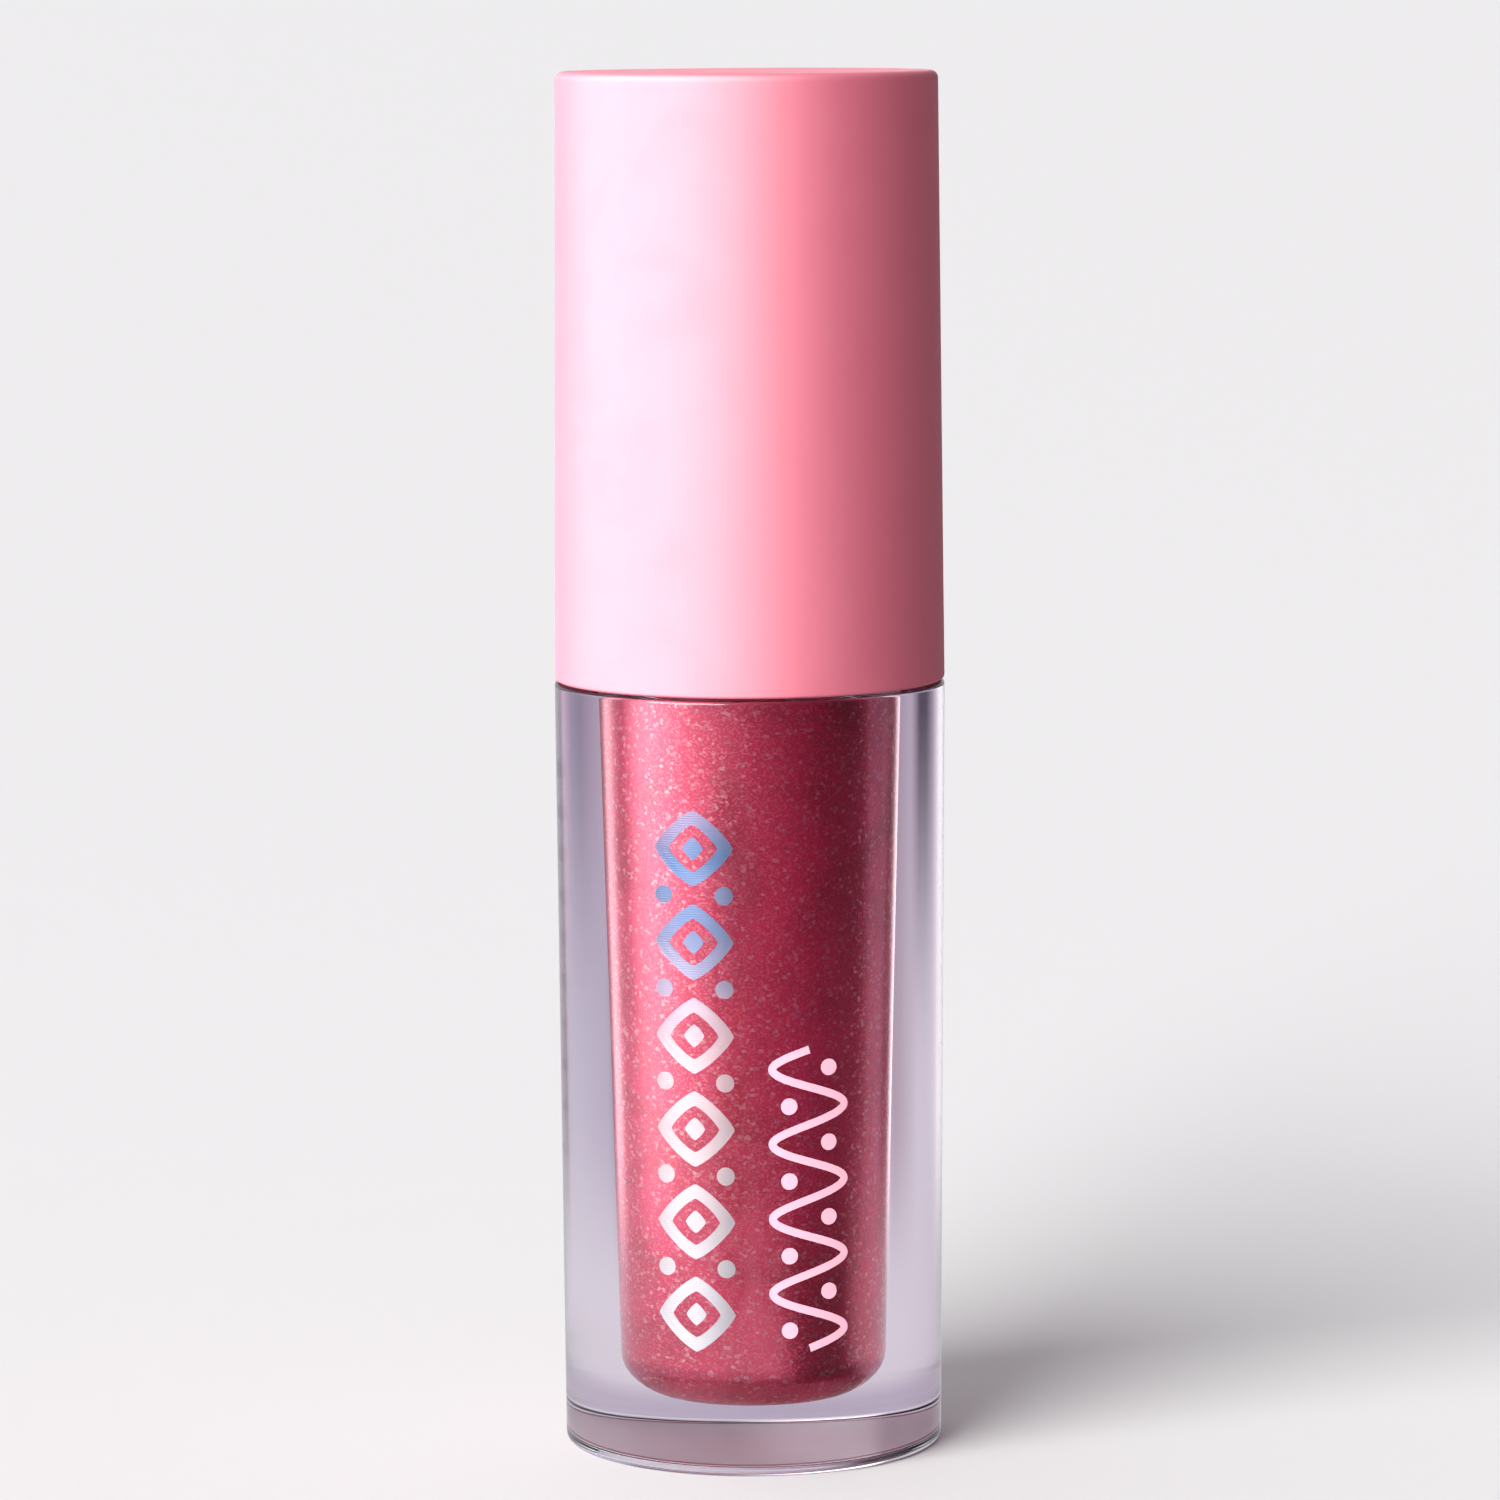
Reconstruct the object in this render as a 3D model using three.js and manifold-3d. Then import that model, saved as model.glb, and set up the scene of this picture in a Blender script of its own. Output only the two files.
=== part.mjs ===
// A lip gloss tube: a thick-walled clear bottle, and a screw cap that carries the applicator wand.
// Millimetres, +Z up. The origin is the middle of the base, on the surface that the tube stands on.
import * as THREE from "three";
import { mergeVertices } from "three/addons/utils/BufferGeometryUtils.js";
import Module from "manifold-3d";

// ---- Driving dimensions ----
const tubeDiameter = 20; // where the cap meets the bottle, the widest place
const bottleHeight = 39.5; // base to shoulder
const capHeight = 30.95;
const shoulderGap = 0.15; // the cap's rim stops this far above the shoulder
const bottleDraft = 0.38; // degrees a side, narrower towards the base
const capDraft = 0.5; // degrees a side, narrower towards the top

const baseEdge = 0.35; // rounded
const capTopEdge = 0.4; // rounded
const shoulderEdge = 0.15; // chamfered
const capRimEdge = 0.15; // chamfered

const boreRadius = 4.9; // at the shoulder
const boreDraft = 1; // degrees a side, narrower towards the floor
const boreFloorFillet = 2.1;
const floorThickness = 2.7;
const labelRecess = { radius: 8, depth: 0.3 };
const labelThickness = 0.15;

const neckHeight = 9.6; // shoulder to the neck's rim
const neckWall = 1.2;
const neckEdge = 0.25; // chamfered
const wiperSeatDepth = 9;

const thread = { pitch: 2, turns: 1.5, depth: 0.6, rootWidth: 1.1, crestWidth: 0.5, height: 3 };
const threadClearance = 0.1; // radial, between the two crests
const threadRunOut = 0.1; // of a turn, at each end

const wiper = { flangeInset: 0.15, flange: 0.8, wall: 0.75, tube: 5.6, lip: 2.1, lipWall: 0.45 };
const linerThickness = 0.8;
const linerGrip = 0.05; // radial, from the rod to the liner
const seatGap = 0.05; // between faces that rest on each other
const pressGap = 0.1; // radial, between a piece and the hole that it is pushed into

const capWall = 1.3; // at the rim
const capCeiling = 1.6;
const skirtRecess = 0.6; // the inner cap ends this far above the overcap's rim
const skirtWall = 0.6;
const roofThickness = 1.3;
const sleeveWall = 0.9;
const splines = { count: 12, width: 0.9, height: 0.18 };
const ribs = { count: 6, width: 0.8 };
const socketDepth = 10.4;
const bossWall = 1.3;

const rodRadius = 1.9;
const rodCollar = { radius: 2.7, thickness: 0.6 };
const rodPlug = { length: 9.4, barbs: 3, barbHeight: 0.05 };
const wandClearance = 0.18; // radial, from the rod to the wiper's lip
const tipAboveFloor = 2.3;
const tip = { length: 7.4, plugRadius: 1.05, plugLength: 3.4, slant: 0.62 };
const flockThickness = 0.24;
const flockGap = 0.03; // between the tip's core and the flock's backing
const glossGap = 0.06; // from the gloss to what holds it

const roundSteps = { outer: 56, inner: 44, wand: 28, tip: 20 }; // sides of the round surfaces
const arcSteps = 2; // half the chords in a quarter turn of an edge radius

// ---- Levels and radii that follow from them ----
const radians = THREE.MathUtils.degToRad;
const tubeRadius = tubeDiameter / 2;
const baseRadius = tubeRadius - bottleHeight * Math.tan(radians(bottleDraft));
const neckTop = bottleHeight + neckHeight;
const seatFloor = neckTop - wiperSeatDepth;
const boreRadiusAt = (z) => boreRadius - (bottleHeight - z) * Math.tan(radians(boreDraft));
const capRim = bottleHeight + shoulderGap;
const capTop = capRim + capHeight;
const ceiling = capTop - capCeiling;
const capBore = tubeRadius - capWall;
const capBoreAt = (z) => capBore - (z - capRim) * Math.tan(radians(capDraft)) / 2;
const sleeveRadius = capBoreAt(ceiling) - pressGap / 2 - splines.height;
const femaleRoot = sleeveRadius - skirtWall;
const femaleCrest = femaleRoot - thread.depth;
const maleCrest = femaleCrest - threadClearance;
const neckRadius = maleCrest - thread.depth;
const seatRadius = neckRadius - neckWall;
const flangeRadius = neckRadius - wiper.flangeInset;
const wiperTop = neckTop + seatGap + wiper.flange;
const linerBottom = wiperTop + seatGap;
const roofUnderside = linerBottom + linerThickness + seatGap;
const roofTop = roofUnderside + roofThickness;
const socketRadius = rodRadius + pressGap;
const collarSeat = roofUnderside + rodCollar.thickness + seatGap;
const socketTop = roofUnderside + socketDepth;
const bossTop = socketTop + bossWall;
const sleeveTop = ceiling - 0.5;
const lipRadius = rodRadius + wandClearance;
const tipBottom = floorThickness + tipAboveFloor;
const tipTop = tipBottom + tip.length;
const tipRadius = rodRadius - flockThickness;
const glossTop = seatFloor - 0.15;

const colours = {
  clear: { color: 0xece8f2, roughness: 0.05, metalness: 0, transparent: true, opacity: 0.35 },
  gloss: { color: 0xa3244a, roughness: 0.35, metalness: 0.3 },
  cap: { color: 0xf3a0bd, roughness: 0.45, metalness: 0 },
  natural: { color: 0xf2f0ee, roughness: 0.4, metalness: 0 },
  foam: { color: 0xf7f5f2, roughness: 0.9, metalness: 0 },
  flock: { color: 0xc9667f, roughness: 1, metalness: 0 },
  label: { color: 0xd8ccd4, roughness: 0.6, metalness: 0 },
};

const wasm = await Module();
wasm.setup();

// ---- Shape helpers ----

// A profile of radius and height, turned about +Z.
function revolve(profile, steps) {
  const points = profile.getPoints(arcSteps);
  return new THREE.LatheGeometry(points, steps).rotateX(Math.PI / 2);
}

function middleOf(ring) {
  const sum = ring.reduce((total, point) => total.add(point), new THREE.Vector3());
  return sum.divideScalar(ring.length);
}

// A closed skin over a row of rings, each a list of points. The first and last are single points.
function skin(rings) {
  const count = rings[1].length;
  const starts = [];
  const positions = [];
  for (const ring of rings) {
    starts.push(positions.length / 3);
    for (const point of ring) positions.push(point.x, point.y, point.z);
  }
  const index = [];
  for (let i = 0; i + 1 < rings.length; i++) {
    for (let j = 0; j < count; j++) {
      const next = (j + 1) % count;
      const [a, b] = [starts[i] + j, starts[i] + next];
      const [c, d] = [starts[i + 1] + j, starts[i + 1] + next];
      if (rings[i].length === 1) index.push(starts[i], c, d);
      else if (rings[i + 1].length === 1) index.push(a, starts[i + 1], b);
      else index.push(a, c, d, a, d, b);
    }
  }
  const geometry = new THREE.BufferGeometry();
  geometry.setAttribute("position", new THREE.Float32BufferAttribute(positions, 3));
  return geometry.setIndex(index);
}

// A helical ridge whose section is a trapezium, fading out at both ends. Its root is sunk into the wall.
function helicalRidge({ wallRadius, crestRadius, startZ }) {
  const stepsPerTurn = 40;
  const sunk = Math.sign(wallRadius - crestRadius) * 0.15;
  const steps = thread.turns * stepsPerTurn;
  const rings = [];
  for (let i = 0; i <= steps; i++) {
    const turn = i / stepsPerTurn;
    const angle = turn * 2 * Math.PI;
    const z = startZ + thread.pitch * turn;
    const toEnd = Math.min(turn, thread.turns - turn) / threadRunOut;
    const rise = THREE.MathUtils.smoothstep(toEnd, -0.2, 1);
    const crest = wallRadius + (crestRadius - wallRadius) * rise;
    const corners = [
      [wallRadius + sunk, -thread.rootWidth / 2],
      [crest, -thread.crestWidth / 2],
      [crest, thread.crestWidth / 2],
      [wallRadius + sunk, thread.rootWidth / 2],
    ];
    if (crestRadius < wallRadius) corners.reverse();
    rings.push(corners.map(([r, up]) => {
      return new THREE.Vector3(r * Math.cos(angle), r * Math.sin(angle), z + up);
    }));
  }
  return skin([[middleOf(rings[0])], ...rings, [middleOf(rings[rings.length - 1])]]);
}

// A block with its long side along +Z, standing at a radius and turned about +Z.
function radialBlock(fromRadius, toRadius, width, bottom, top, angle) {
  return new THREE.BoxGeometry(toRadius - fromRadius, width, top - bottom)
    .translate((fromRadius + toRadius) / 2, 0, (bottom + top) / 2)
    .rotateZ(angle);
}

// The geometry as a manifold-3d solid.
function solidOf(geometry) {
  const bare = geometry.clone();
  bare.deleteAttribute("normal");
  bare.deleteAttribute("uv");
  const merged = mergeVertices(bare, 1e-4);
  const corners = merged.index.array;
  const kept = [];
  for (let i = 0; i < corners.length; i += 3) {
    const [a, b, c] = [corners[i], corners[i + 1], corners[i + 2]];
    if (a !== b && b !== c && a !== c) kept.push(a, b, c);
  }
  return new wasm.Manifold(new wasm.Mesh({
    numProp: 3,
    vertProperties: merged.attributes.position.array,
    triVerts: new Uint32Array(kept),
  }));
}

// The geometries joined into one solid's geometry.
function join(geometries) {
  const whole = geometries.map(solidOf).reduce((sum, solid) => sum.add(solid));
  const mesh = whole.getMesh();
  const geometry = new THREE.BufferGeometry();
  geometry.setAttribute("position", new THREE.BufferAttribute(mesh.vertProperties, 3));
  return geometry.setIndex(new THREE.BufferAttribute(mesh.triVerts, 1));
}

function piece(name, geometry, look) {
  const material = new THREE.MeshStandardMaterial(look);
  const mesh = new THREE.Mesh(geometry, material);
  mesh.name = name;
  return mesh;
}

// ---- Pieces of the bottle ----

function makeBottle() {
  const { radius: recess, depth } = labelRecess;
  const profile = new THREE.Path().moveTo(0, depth).lineTo(recess, depth).lineTo(recess, 0);
  profile.lineTo(baseRadius - baseEdge, 0);
  profile.absarc(baseRadius - baseEdge, baseEdge, baseEdge, -Math.PI / 2, 0, false);
  profile.lineTo(tubeRadius, bottleHeight - shoulderEdge).lineTo(tubeRadius - shoulderEdge, bottleHeight);
  profile.lineTo(neckRadius, bottleHeight);
  profile.lineTo(neckRadius, neckTop - neckEdge).lineTo(neckRadius - neckEdge, neckTop);
  profile.lineTo(seatRadius, neckTop).lineTo(seatRadius, seatFloor);
  profile.lineTo(boreRadiusAt(seatFloor), seatFloor);
  const filletRadius = boreRadiusAt(floorThickness + boreFloorFillet);
  const filletLevel = floorThickness + boreFloorFillet;
  profile.lineTo(filletRadius, filletLevel);
  profile.absarc(filletRadius - boreFloorFillet, filletLevel, boreFloorFillet, 0, -Math.PI / 2, true);
  profile.lineTo(0, floorThickness);
  const ridge = helicalRidge({
    wallRadius: neckRadius,
    crestRadius: maleCrest,
    startZ: bottleHeight + thread.height,
  });
  return join([revolve(profile, roundSteps.outer), ridge]);
}

function makeBaseLabel() {
  const top = labelRecess.depth - seatGap;
  const radius = labelRecess.radius - 2 * pressGap;
  const profile = new THREE.Path().moveTo(0, top - labelThickness).lineTo(radius, top - labelThickness);
  profile.lineTo(radius, top).lineTo(0, top);
  return revolve(profile, roundSteps.inner);
}

// The fill, with the channel that the wand stands in.
function makeGloss() {
  const floor = floorThickness + glossGap;
  const wallRadius = (z) => boreRadiusAt(z) - glossGap;
  const fillet = boreFloorFillet - glossGap;
  const channel = lipRadius + glossGap;
  const channelFloor = tipBottom - 0.4;
  const profile = new THREE.Path().moveTo(0, floor).lineTo(wallRadius(floor + fillet) - fillet, floor);
  profile.absarc(wallRadius(floor + fillet) - fillet, floor + fillet, fillet, -Math.PI / 2, 0, false);
  profile.lineTo(wallRadius(glossTop), glossTop).lineTo(channel, glossTop);
  profile.lineTo(channel, channelFloor).lineTo(0, channelFloor);
  return revolve(profile, roundSteps.inner);
}

// The insert that wipes the wand: a flange on the neck's rim, a tube in the neck and a conical lip.
function makeWiper() {
  const { flange, wall, tube, lip, lipWall } = wiper;
  const tubeOuter = seatRadius - pressGap;
  const tubeInner = tubeOuter - wall;
  const underside = neckTop + seatGap;
  const tubeBottom = underside - tube;
  const chamfer = 0.3;
  const lipBottom = tubeBottom - lip;
  const profile = new THREE.Path().moveTo(lipRadius, lipBottom).lineTo(lipRadius + lipWall, lipBottom);
  profile.lineTo(tubeOuter, tubeBottom).lineTo(tubeOuter, underside);
  profile.lineTo(flangeRadius, underside).lineTo(flangeRadius, wiperTop - chamfer);
  profile.lineTo(flangeRadius - chamfer, wiperTop).lineTo(tubeInner - chamfer, wiperTop);
  profile.lineTo(tubeInner, wiperTop - flange).lineTo(tubeInner, tubeBottom + lipWall / 2);
  profile.lineTo(lipRadius, lipBottom);
  return revolve(profile, roundSteps.inner);
}

// ---- Pieces of the cap ----

// A washer that grips the rod, and seals the wiper's flange against the inner cap's roof.
function makeCapLiner() {
  const inner = rodRadius + linerGrip;
  const outer = flangeRadius - linerGrip;
  const top = linerBottom + linerThickness;
  const profile = new THREE.Path().moveTo(inner, linerBottom).lineTo(outer, linerBottom);
  profile.lineTo(outer, top).lineTo(inner, top).lineTo(inner, linerBottom);
  return revolve(profile, roundSteps.inner);
}

// The threaded insert: a skirt over the neck, a roof with the rod's socket, and a sleeve up the overcap.
function makeInnerCap() {
  const skirtBottom = capRim + skirtRecess;
  const bossRadius = socketRadius + bossWall;
  const sleeveInner = sleeveRadius - sleeveWall;
  const profile = new THREE.Path().moveTo(0, socketTop).lineTo(socketRadius, socketTop);
  profile.lineTo(socketRadius, collarSeat).lineTo(rodCollar.radius + pressGap, collarSeat);
  profile.lineTo(rodCollar.radius + pressGap, roofUnderside).lineTo(femaleRoot, roofUnderside);
  profile.lineTo(femaleRoot, skirtBottom).lineTo(sleeveRadius - skirtWall / 2, skirtBottom);
  profile.lineTo(sleeveRadius, skirtBottom + skirtWall / 2).lineTo(sleeveRadius, sleeveTop);
  profile.lineTo(sleeveInner, sleeveTop).lineTo(sleeveInner, roofTop);
  profile.lineTo(bossRadius, roofTop).lineTo(bossRadius, bossTop).lineTo(0, bossTop);
  const parts = [revolve(profile, roundSteps.inner)];
  parts.push(helicalRidge({
    wallRadius: femaleRoot,
    crestRadius: femaleCrest,
    startZ: bottleHeight + thread.height - thread.pitch / 2,
  }));
  for (let i = 0; i < ribs.count; i++) {
    const angle = (i / ribs.count) * 2 * Math.PI;
    const [from, to] = [bossRadius - 0.2, sleeveInner + 0.2];
    parts.push(radialBlock(from, to, ribs.width, roofTop - 0.2, bossTop - 0.6, angle));
  }
  for (let i = 0; i < splines.count; i++) {
    const angle = ((i + 0.5) / splines.count) * 2 * Math.PI;
    const [from, to] = [sleeveRadius - 0.2, sleeveRadius + splines.height];
    parts.push(radialBlock(from, to, splines.width, skirtBottom + 1.5, sleeveTop - 1, angle));
  }
  return join(parts);
}

function makeOvercap() {
  const topRadius = tubeRadius - capHeight * Math.tan(radians(capDraft));
  const profile = new THREE.Path().moveTo(0, ceiling).lineTo(capBoreAt(ceiling), ceiling);
  profile.lineTo(capBore, capRim + capRimEdge).lineTo(capBore + capRimEdge, capRim);
  profile.lineTo(tubeRadius - capRimEdge, capRim).lineTo(tubeRadius, capRim + capRimEdge);
  profile.lineTo(topRadius, capTop - capTopEdge);
  profile.absarc(topRadius - capTopEdge, capTop - capTopEdge, capTopEdge, 0, Math.PI / 2, false);
  profile.lineTo(0, capTop);
  return revolve(profile, roundSteps.outer);
}

// ---- Pieces of the wand ----

// The rod: a barbed plug, a collar let into the inner cap's roof, and a socket for the tip at the bottom.
function makeRod() {
  const collarTop = collarSeat - seatGap;
  const collarBottom = roofUnderside;
  const plugTop = collarTop + rodPlug.length;
  const rodBottom = tipTop + seatGap;
  const socket = tip.plugRadius + pressGap;
  const socketEnd = rodBottom + tip.plugLength + 2 * pressGap;
  const chamfer = 0.3;
  const profile = new THREE.Path().moveTo(0, socketEnd).lineTo(socket, socketEnd).lineTo(socket, rodBottom);
  profile.lineTo(rodRadius - chamfer, rodBottom).lineTo(rodRadius, rodBottom + chamfer);
  profile.lineTo(rodRadius, collarBottom).lineTo(rodCollar.radius, collarBottom);
  profile.lineTo(rodCollar.radius, collarTop).lineTo(rodRadius, collarTop);
  const barbSpacing = rodPlug.length / (rodPlug.barbs + 1);
  for (let i = 1; i <= rodPlug.barbs; i++) {
    const z = collarTop + i * barbSpacing;
    profile.lineTo(rodRadius, z).lineTo(rodRadius + rodPlug.barbHeight, z);
    profile.lineTo(rodRadius, z + barbSpacing / 2);
  }
  profile.lineTo(rodRadius, plugTop - chamfer).lineTo(rodRadius - chamfer, plugTop).lineTo(0, plugTop);
  return revolve(profile, roundSteps.wand);
}

// Rings of the slanted applicator tip, from just above its lowest point to its neck, grown by an offset.
function tipRings(offset) {
  const rings = [];
  const levels = 12;
  const stemRadius = tip.plugRadius + 0.25;
  for (let i = 1; i <= levels; i++) {
    const t = i / levels;
    const roundEnd = Math.sqrt(1 - (1 - Math.min(t / 0.3, 1)) ** 2);
    const shoulder = THREE.MathUtils.smoothstep(t, 0.8, 1);
    const back = THREE.MathUtils.lerp(tipRadius * roundEnd, stemRadius, shoulder);
    const cut = tip.slant * (1 - THREE.MathUtils.smoothstep(t, 0.05, 0.72));
    const front = back * (1 - cut);
    const z = tipBottom + flockThickness + t * (tip.length - flockThickness);
    const centre = (back - front) / 2;
    const ring = [];
    for (let j = 0; j < roundSteps.tip; j++) {
      const angle = (j / roundSteps.tip) * 2 * Math.PI;
      const x = (back + offset) * Math.cos(angle);
      const y = ((back + front) / 2 + offset) * Math.sin(angle) + centre;
      ring.push(new THREE.Vector3(x, y, z));
    }
    rings.push(ring);
  }
  return rings;
}

function tipPole(below) {
  const middle = middleOf(tipRings(0)[0]);
  return [middle.setZ(tipBottom + flockThickness - below)];
}

function makeTipCore() {
  const rings = tipRings(0);
  const round = (radius, z) => rings[0].map((_, j) => {
    const angle = (j / roundSteps.tip) * 2 * Math.PI;
    return new THREE.Vector3(radius * Math.cos(angle), radius * Math.sin(angle), z);
  });
  const plugTop = tipTop + seatGap + tip.plugLength;
  const plug = [round(tip.plugRadius, tipTop), round(tip.plugRadius, plugTop)];
  return skin([tipPole(0), ...rings, ...plug, [new THREE.Vector3(0, 0, plugTop)]].reverse());
}

// The flocked coat, open at the neck of the tip.
function makeFlock() {
  const open = 1; // rings left bare at the neck
  const outside = tipRings(flockThickness).slice(0, -open);
  const inside = tipRings(flockGap).slice(0, -open).reverse();
  return skin([tipPole(flockThickness), ...outside, ...inside, tipPole(flockGap)].reverse());
}

// ---- The assembly ----

const bottleGroup = new THREE.Group();
bottleGroup.add(
  piece("bottle", makeBottle(), colours.clear),
  piece("base_label", makeBaseLabel(), colours.label),
  piece("gloss", makeGloss(), colours.gloss),
  piece("wiper", makeWiper(), colours.natural),
);

const wandGroup = new THREE.Group();
wandGroup.add(
  piece("rod", makeRod(), colours.natural),
  piece("tip_core", makeTipCore(), colours.natural),
  piece("tip_flock", makeFlock(), colours.flock),
);

const capGroup = new THREE.Group();
capGroup.add(
  piece("cap_liner", makeCapLiner(), colours.foam),
  piece("inner_cap", makeInnerCap(), colours.natural),
  piece("overcap", makeOvercap(), colours.cap),
  wandGroup,
);

const lipGlossTube = new THREE.Group();
lipGlossTube.add(bottleGroup, capGroup);

export default lipGlossTube;
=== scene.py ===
# A lip gloss tube on a studio table: clear bottle with shimmer gloss, satin pink cap, applicator wand.
import math

import bpy
import numpy as np
from mathutils import Matrix, Vector


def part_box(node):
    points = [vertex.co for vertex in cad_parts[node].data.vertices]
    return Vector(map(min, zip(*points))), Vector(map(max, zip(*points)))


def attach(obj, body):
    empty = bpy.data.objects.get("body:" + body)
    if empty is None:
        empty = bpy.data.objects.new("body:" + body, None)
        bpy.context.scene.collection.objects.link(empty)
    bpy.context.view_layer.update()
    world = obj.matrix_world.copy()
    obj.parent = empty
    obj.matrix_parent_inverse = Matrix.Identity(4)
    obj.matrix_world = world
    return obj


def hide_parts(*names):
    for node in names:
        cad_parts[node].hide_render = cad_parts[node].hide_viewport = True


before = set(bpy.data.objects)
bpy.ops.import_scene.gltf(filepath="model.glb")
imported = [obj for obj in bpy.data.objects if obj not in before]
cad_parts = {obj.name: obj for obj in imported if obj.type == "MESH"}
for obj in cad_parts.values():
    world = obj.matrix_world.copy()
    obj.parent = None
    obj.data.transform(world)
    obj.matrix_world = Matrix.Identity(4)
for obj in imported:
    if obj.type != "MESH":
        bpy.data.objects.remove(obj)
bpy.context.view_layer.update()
print("frame loaded:", ", ".join(sorted(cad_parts)))

mm = 0.001


def sizesOf(node):
    # a CAD node's widest radius, bottom and top, in millimetres
    low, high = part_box(node)
    return high[0] / mm, low[2] / mm, high[2] / mm


bodyRadius, _, neckTop = sizesOf("bottle")
capRadius, rimLevel, capTop = sizesOf("overcap")
glossRadius, glossBottom, glossTop = sizesOf("gloss")
flangeRadius, lipBottom, wiperTop = sizesOf("wiper")
linerRadius, linerBottom, linerTop = sizesOf("cap_liner")
insertRadius, insertBottom, insertTop = sizesOf("inner_cap")
collarRadius, rodBottom, rodTop = sizesOf("rod")
labelRadius, labelBottom, _ = sizesOf("base_label")
flockRadius, flockBottom, _ = sizesOf("tip_flock")
_, _, coreTop = sizesOf("tip_core")
rodRadius = flockRadius  # the flocked tip is as wide as the rod


# Shapes. Every piece is a stack of closed loops held as one array of (rows, columns, 3) in millimetres.

def around(columns):
    # evenly spaced angles of one turn
    return np.arange(columns) / columns * 2 * math.pi


def smoothStep(value):
    # 0 below 0, 1 above 1, and 3 v ** 2 - 2 v ** 3 between
    value = np.clip(value, 0, 1)
    return value * value * (3 - 2 * value)


def superellipse(halfAcross, halfUp, power, count=96):
    # |x / a| ** power + |y / b| ** power = 1
    angle = around(count)
    x = halfAcross * np.sign(np.cos(angle)) * np.abs(np.cos(angle)) ** (2 / power)
    y = halfUp * np.sign(np.sin(angle)) * np.abs(np.sin(angle)) ** (2 / power)
    return x, y


def closedSkin(rings, capped=True):
    # quads between neighbouring loops; the end loops meet their own middle, or each other when not capped
    rows, columns = rings.shape[:2]
    points = rings.reshape(-1, 3)
    row = np.arange(rows - 1 if capped else rows)[:, None]
    column = np.arange(columns)[None, :]
    nextRow, nextColumn = (row + 1) % rows, (column + 1) % columns
    corners = [row * columns + column, row * columns + nextColumn]
    corners += [nextRow * columns + nextColumn, nextRow * columns + column]
    quads = np.stack(np.broadcast_arrays(*corners), axis=-1).reshape(-1, 4)
    fans = np.zeros((0, 3), int)
    if capped:
        points = np.vstack([points, rings[0].mean(axis=0), rings[-1].mean(axis=0)])
        here, further = column[0], nextColumn[0]
        first, last = len(points) - 2, len(points) - 1
        lastRow = (rows - 1) * columns
        start = np.stack([np.full(columns, first), further, here], axis=-1)
        end = np.stack([np.full(columns, last), lastRow + here, lastRow + further], axis=-1)
        fans = np.vstack([start, end])
    return points, quads, fans


def joinSkins(skins):
    # several closed skins as one set of arrays
    points, quads, fans, count = [], [], [], 0
    for skinPoints, skinQuads, skinFans in skins:
        points.append(skinPoints)
        quads.append(skinQuads + count)
        fans.append(skinFans + count)
        count += len(skinPoints)
    return np.vstack(points), np.vstack(quads), np.vstack(fans)


def putMesh(name, skin, material, smooth=True):
    # the arrays go into a mesh in metres
    points, quads, fans = skin
    mesh = bpy.data.meshes.new(name)
    mesh.vertices.add(len(points))
    mesh.vertices.foreach_set("co", (points * mm).astype(np.float32).ravel())
    loops = np.concatenate([quads.ravel(), fans.ravel()])
    starts = np.concatenate([np.arange(len(quads)) * 4, len(quads) * 4 + np.arange(len(fans)) * 3])
    mesh.loops.add(len(loops))
    mesh.loops.foreach_set("vertex_index", loops.astype(np.int32))
    mesh.polygons.add(len(starts))
    mesh.polygons.foreach_set("loop_start", starts.astype(np.int32))
    mesh.polygons.foreach_set("use_smooth", np.full(len(starts), smooth))
    mesh.update(calc_edges=True)
    mesh.validate()
    return putObject(name, mesh, material)


def putObject(name, mesh, material):
    mesh.materials.append(material)
    piece = bpy.data.objects.new(name, mesh)
    bpy.context.scene.collection.objects.link(piece)
    return piece


def roundedOutline(corners, arcPoints=7, supportGap=0.05, longStep=2.0):
    # An outline of radius and height through the corners. Each corner is (radius, height, rounding) or
    # (radius, height, rounding, step along the span after it). A rounded corner is an arc that touches both
    # spans: middle + (sin((1 - share) sweep) first + sin(share sweep) last) / sin sweep. Every span gets
    # points close to its ends, so that shading stays flat between the roundings.
    spots = np.array([corner[:2] for corner in corners], float)
    arcs = []
    for index, corner in enumerate(corners):
        if index in (0, len(corners) - 1) or corner[2] == 0:
            arcs.append(spots[index][None])
            continue
        before, after = spots[index - 1] - spots[index], spots[index + 1] - spots[index]
        before, after = before / np.linalg.norm(before), after / np.linalg.norm(after)
        half = math.acos(np.clip(before @ after, -1, 1)) / 2
        reach = corner[2] / math.tan(half)
        inward = (before + after) / np.linalg.norm(before + after)
        middle = spots[index] + inward * corner[2] / math.sin(half)
        first, last = spots[index] + before * reach - middle, spots[index] + after * reach - middle
        sweep = math.pi - 2 * half
        share = np.linspace(0, 1, arcPoints)[:, None]
        swung = np.sin((1 - share) * sweep) * first + np.sin(share * sweep) * last
        arcs.append(middle + swung / math.sin(sweep))
    outline = [arcs[0]]
    for index in range(1, len(corners)):
        start, end = arcs[index - 1][-1], arcs[index][0]
        length = np.linalg.norm(end - start)
        step = corners[index - 1][3] if len(corners[index - 1]) > 3 else longStep
        inside = np.linspace(0, 1, max(int(round(length / step)), 1) + 1)[1:-1]
        if length > 4 * supportGap:
            inside = np.concatenate([[supportGap / length], inside, [1 - supportGap / length]])
        outline.append(start + (end - start) * np.sort(inside)[:, None])
        outline.append(arcs[index])
    return np.vstack(outline)


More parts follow.
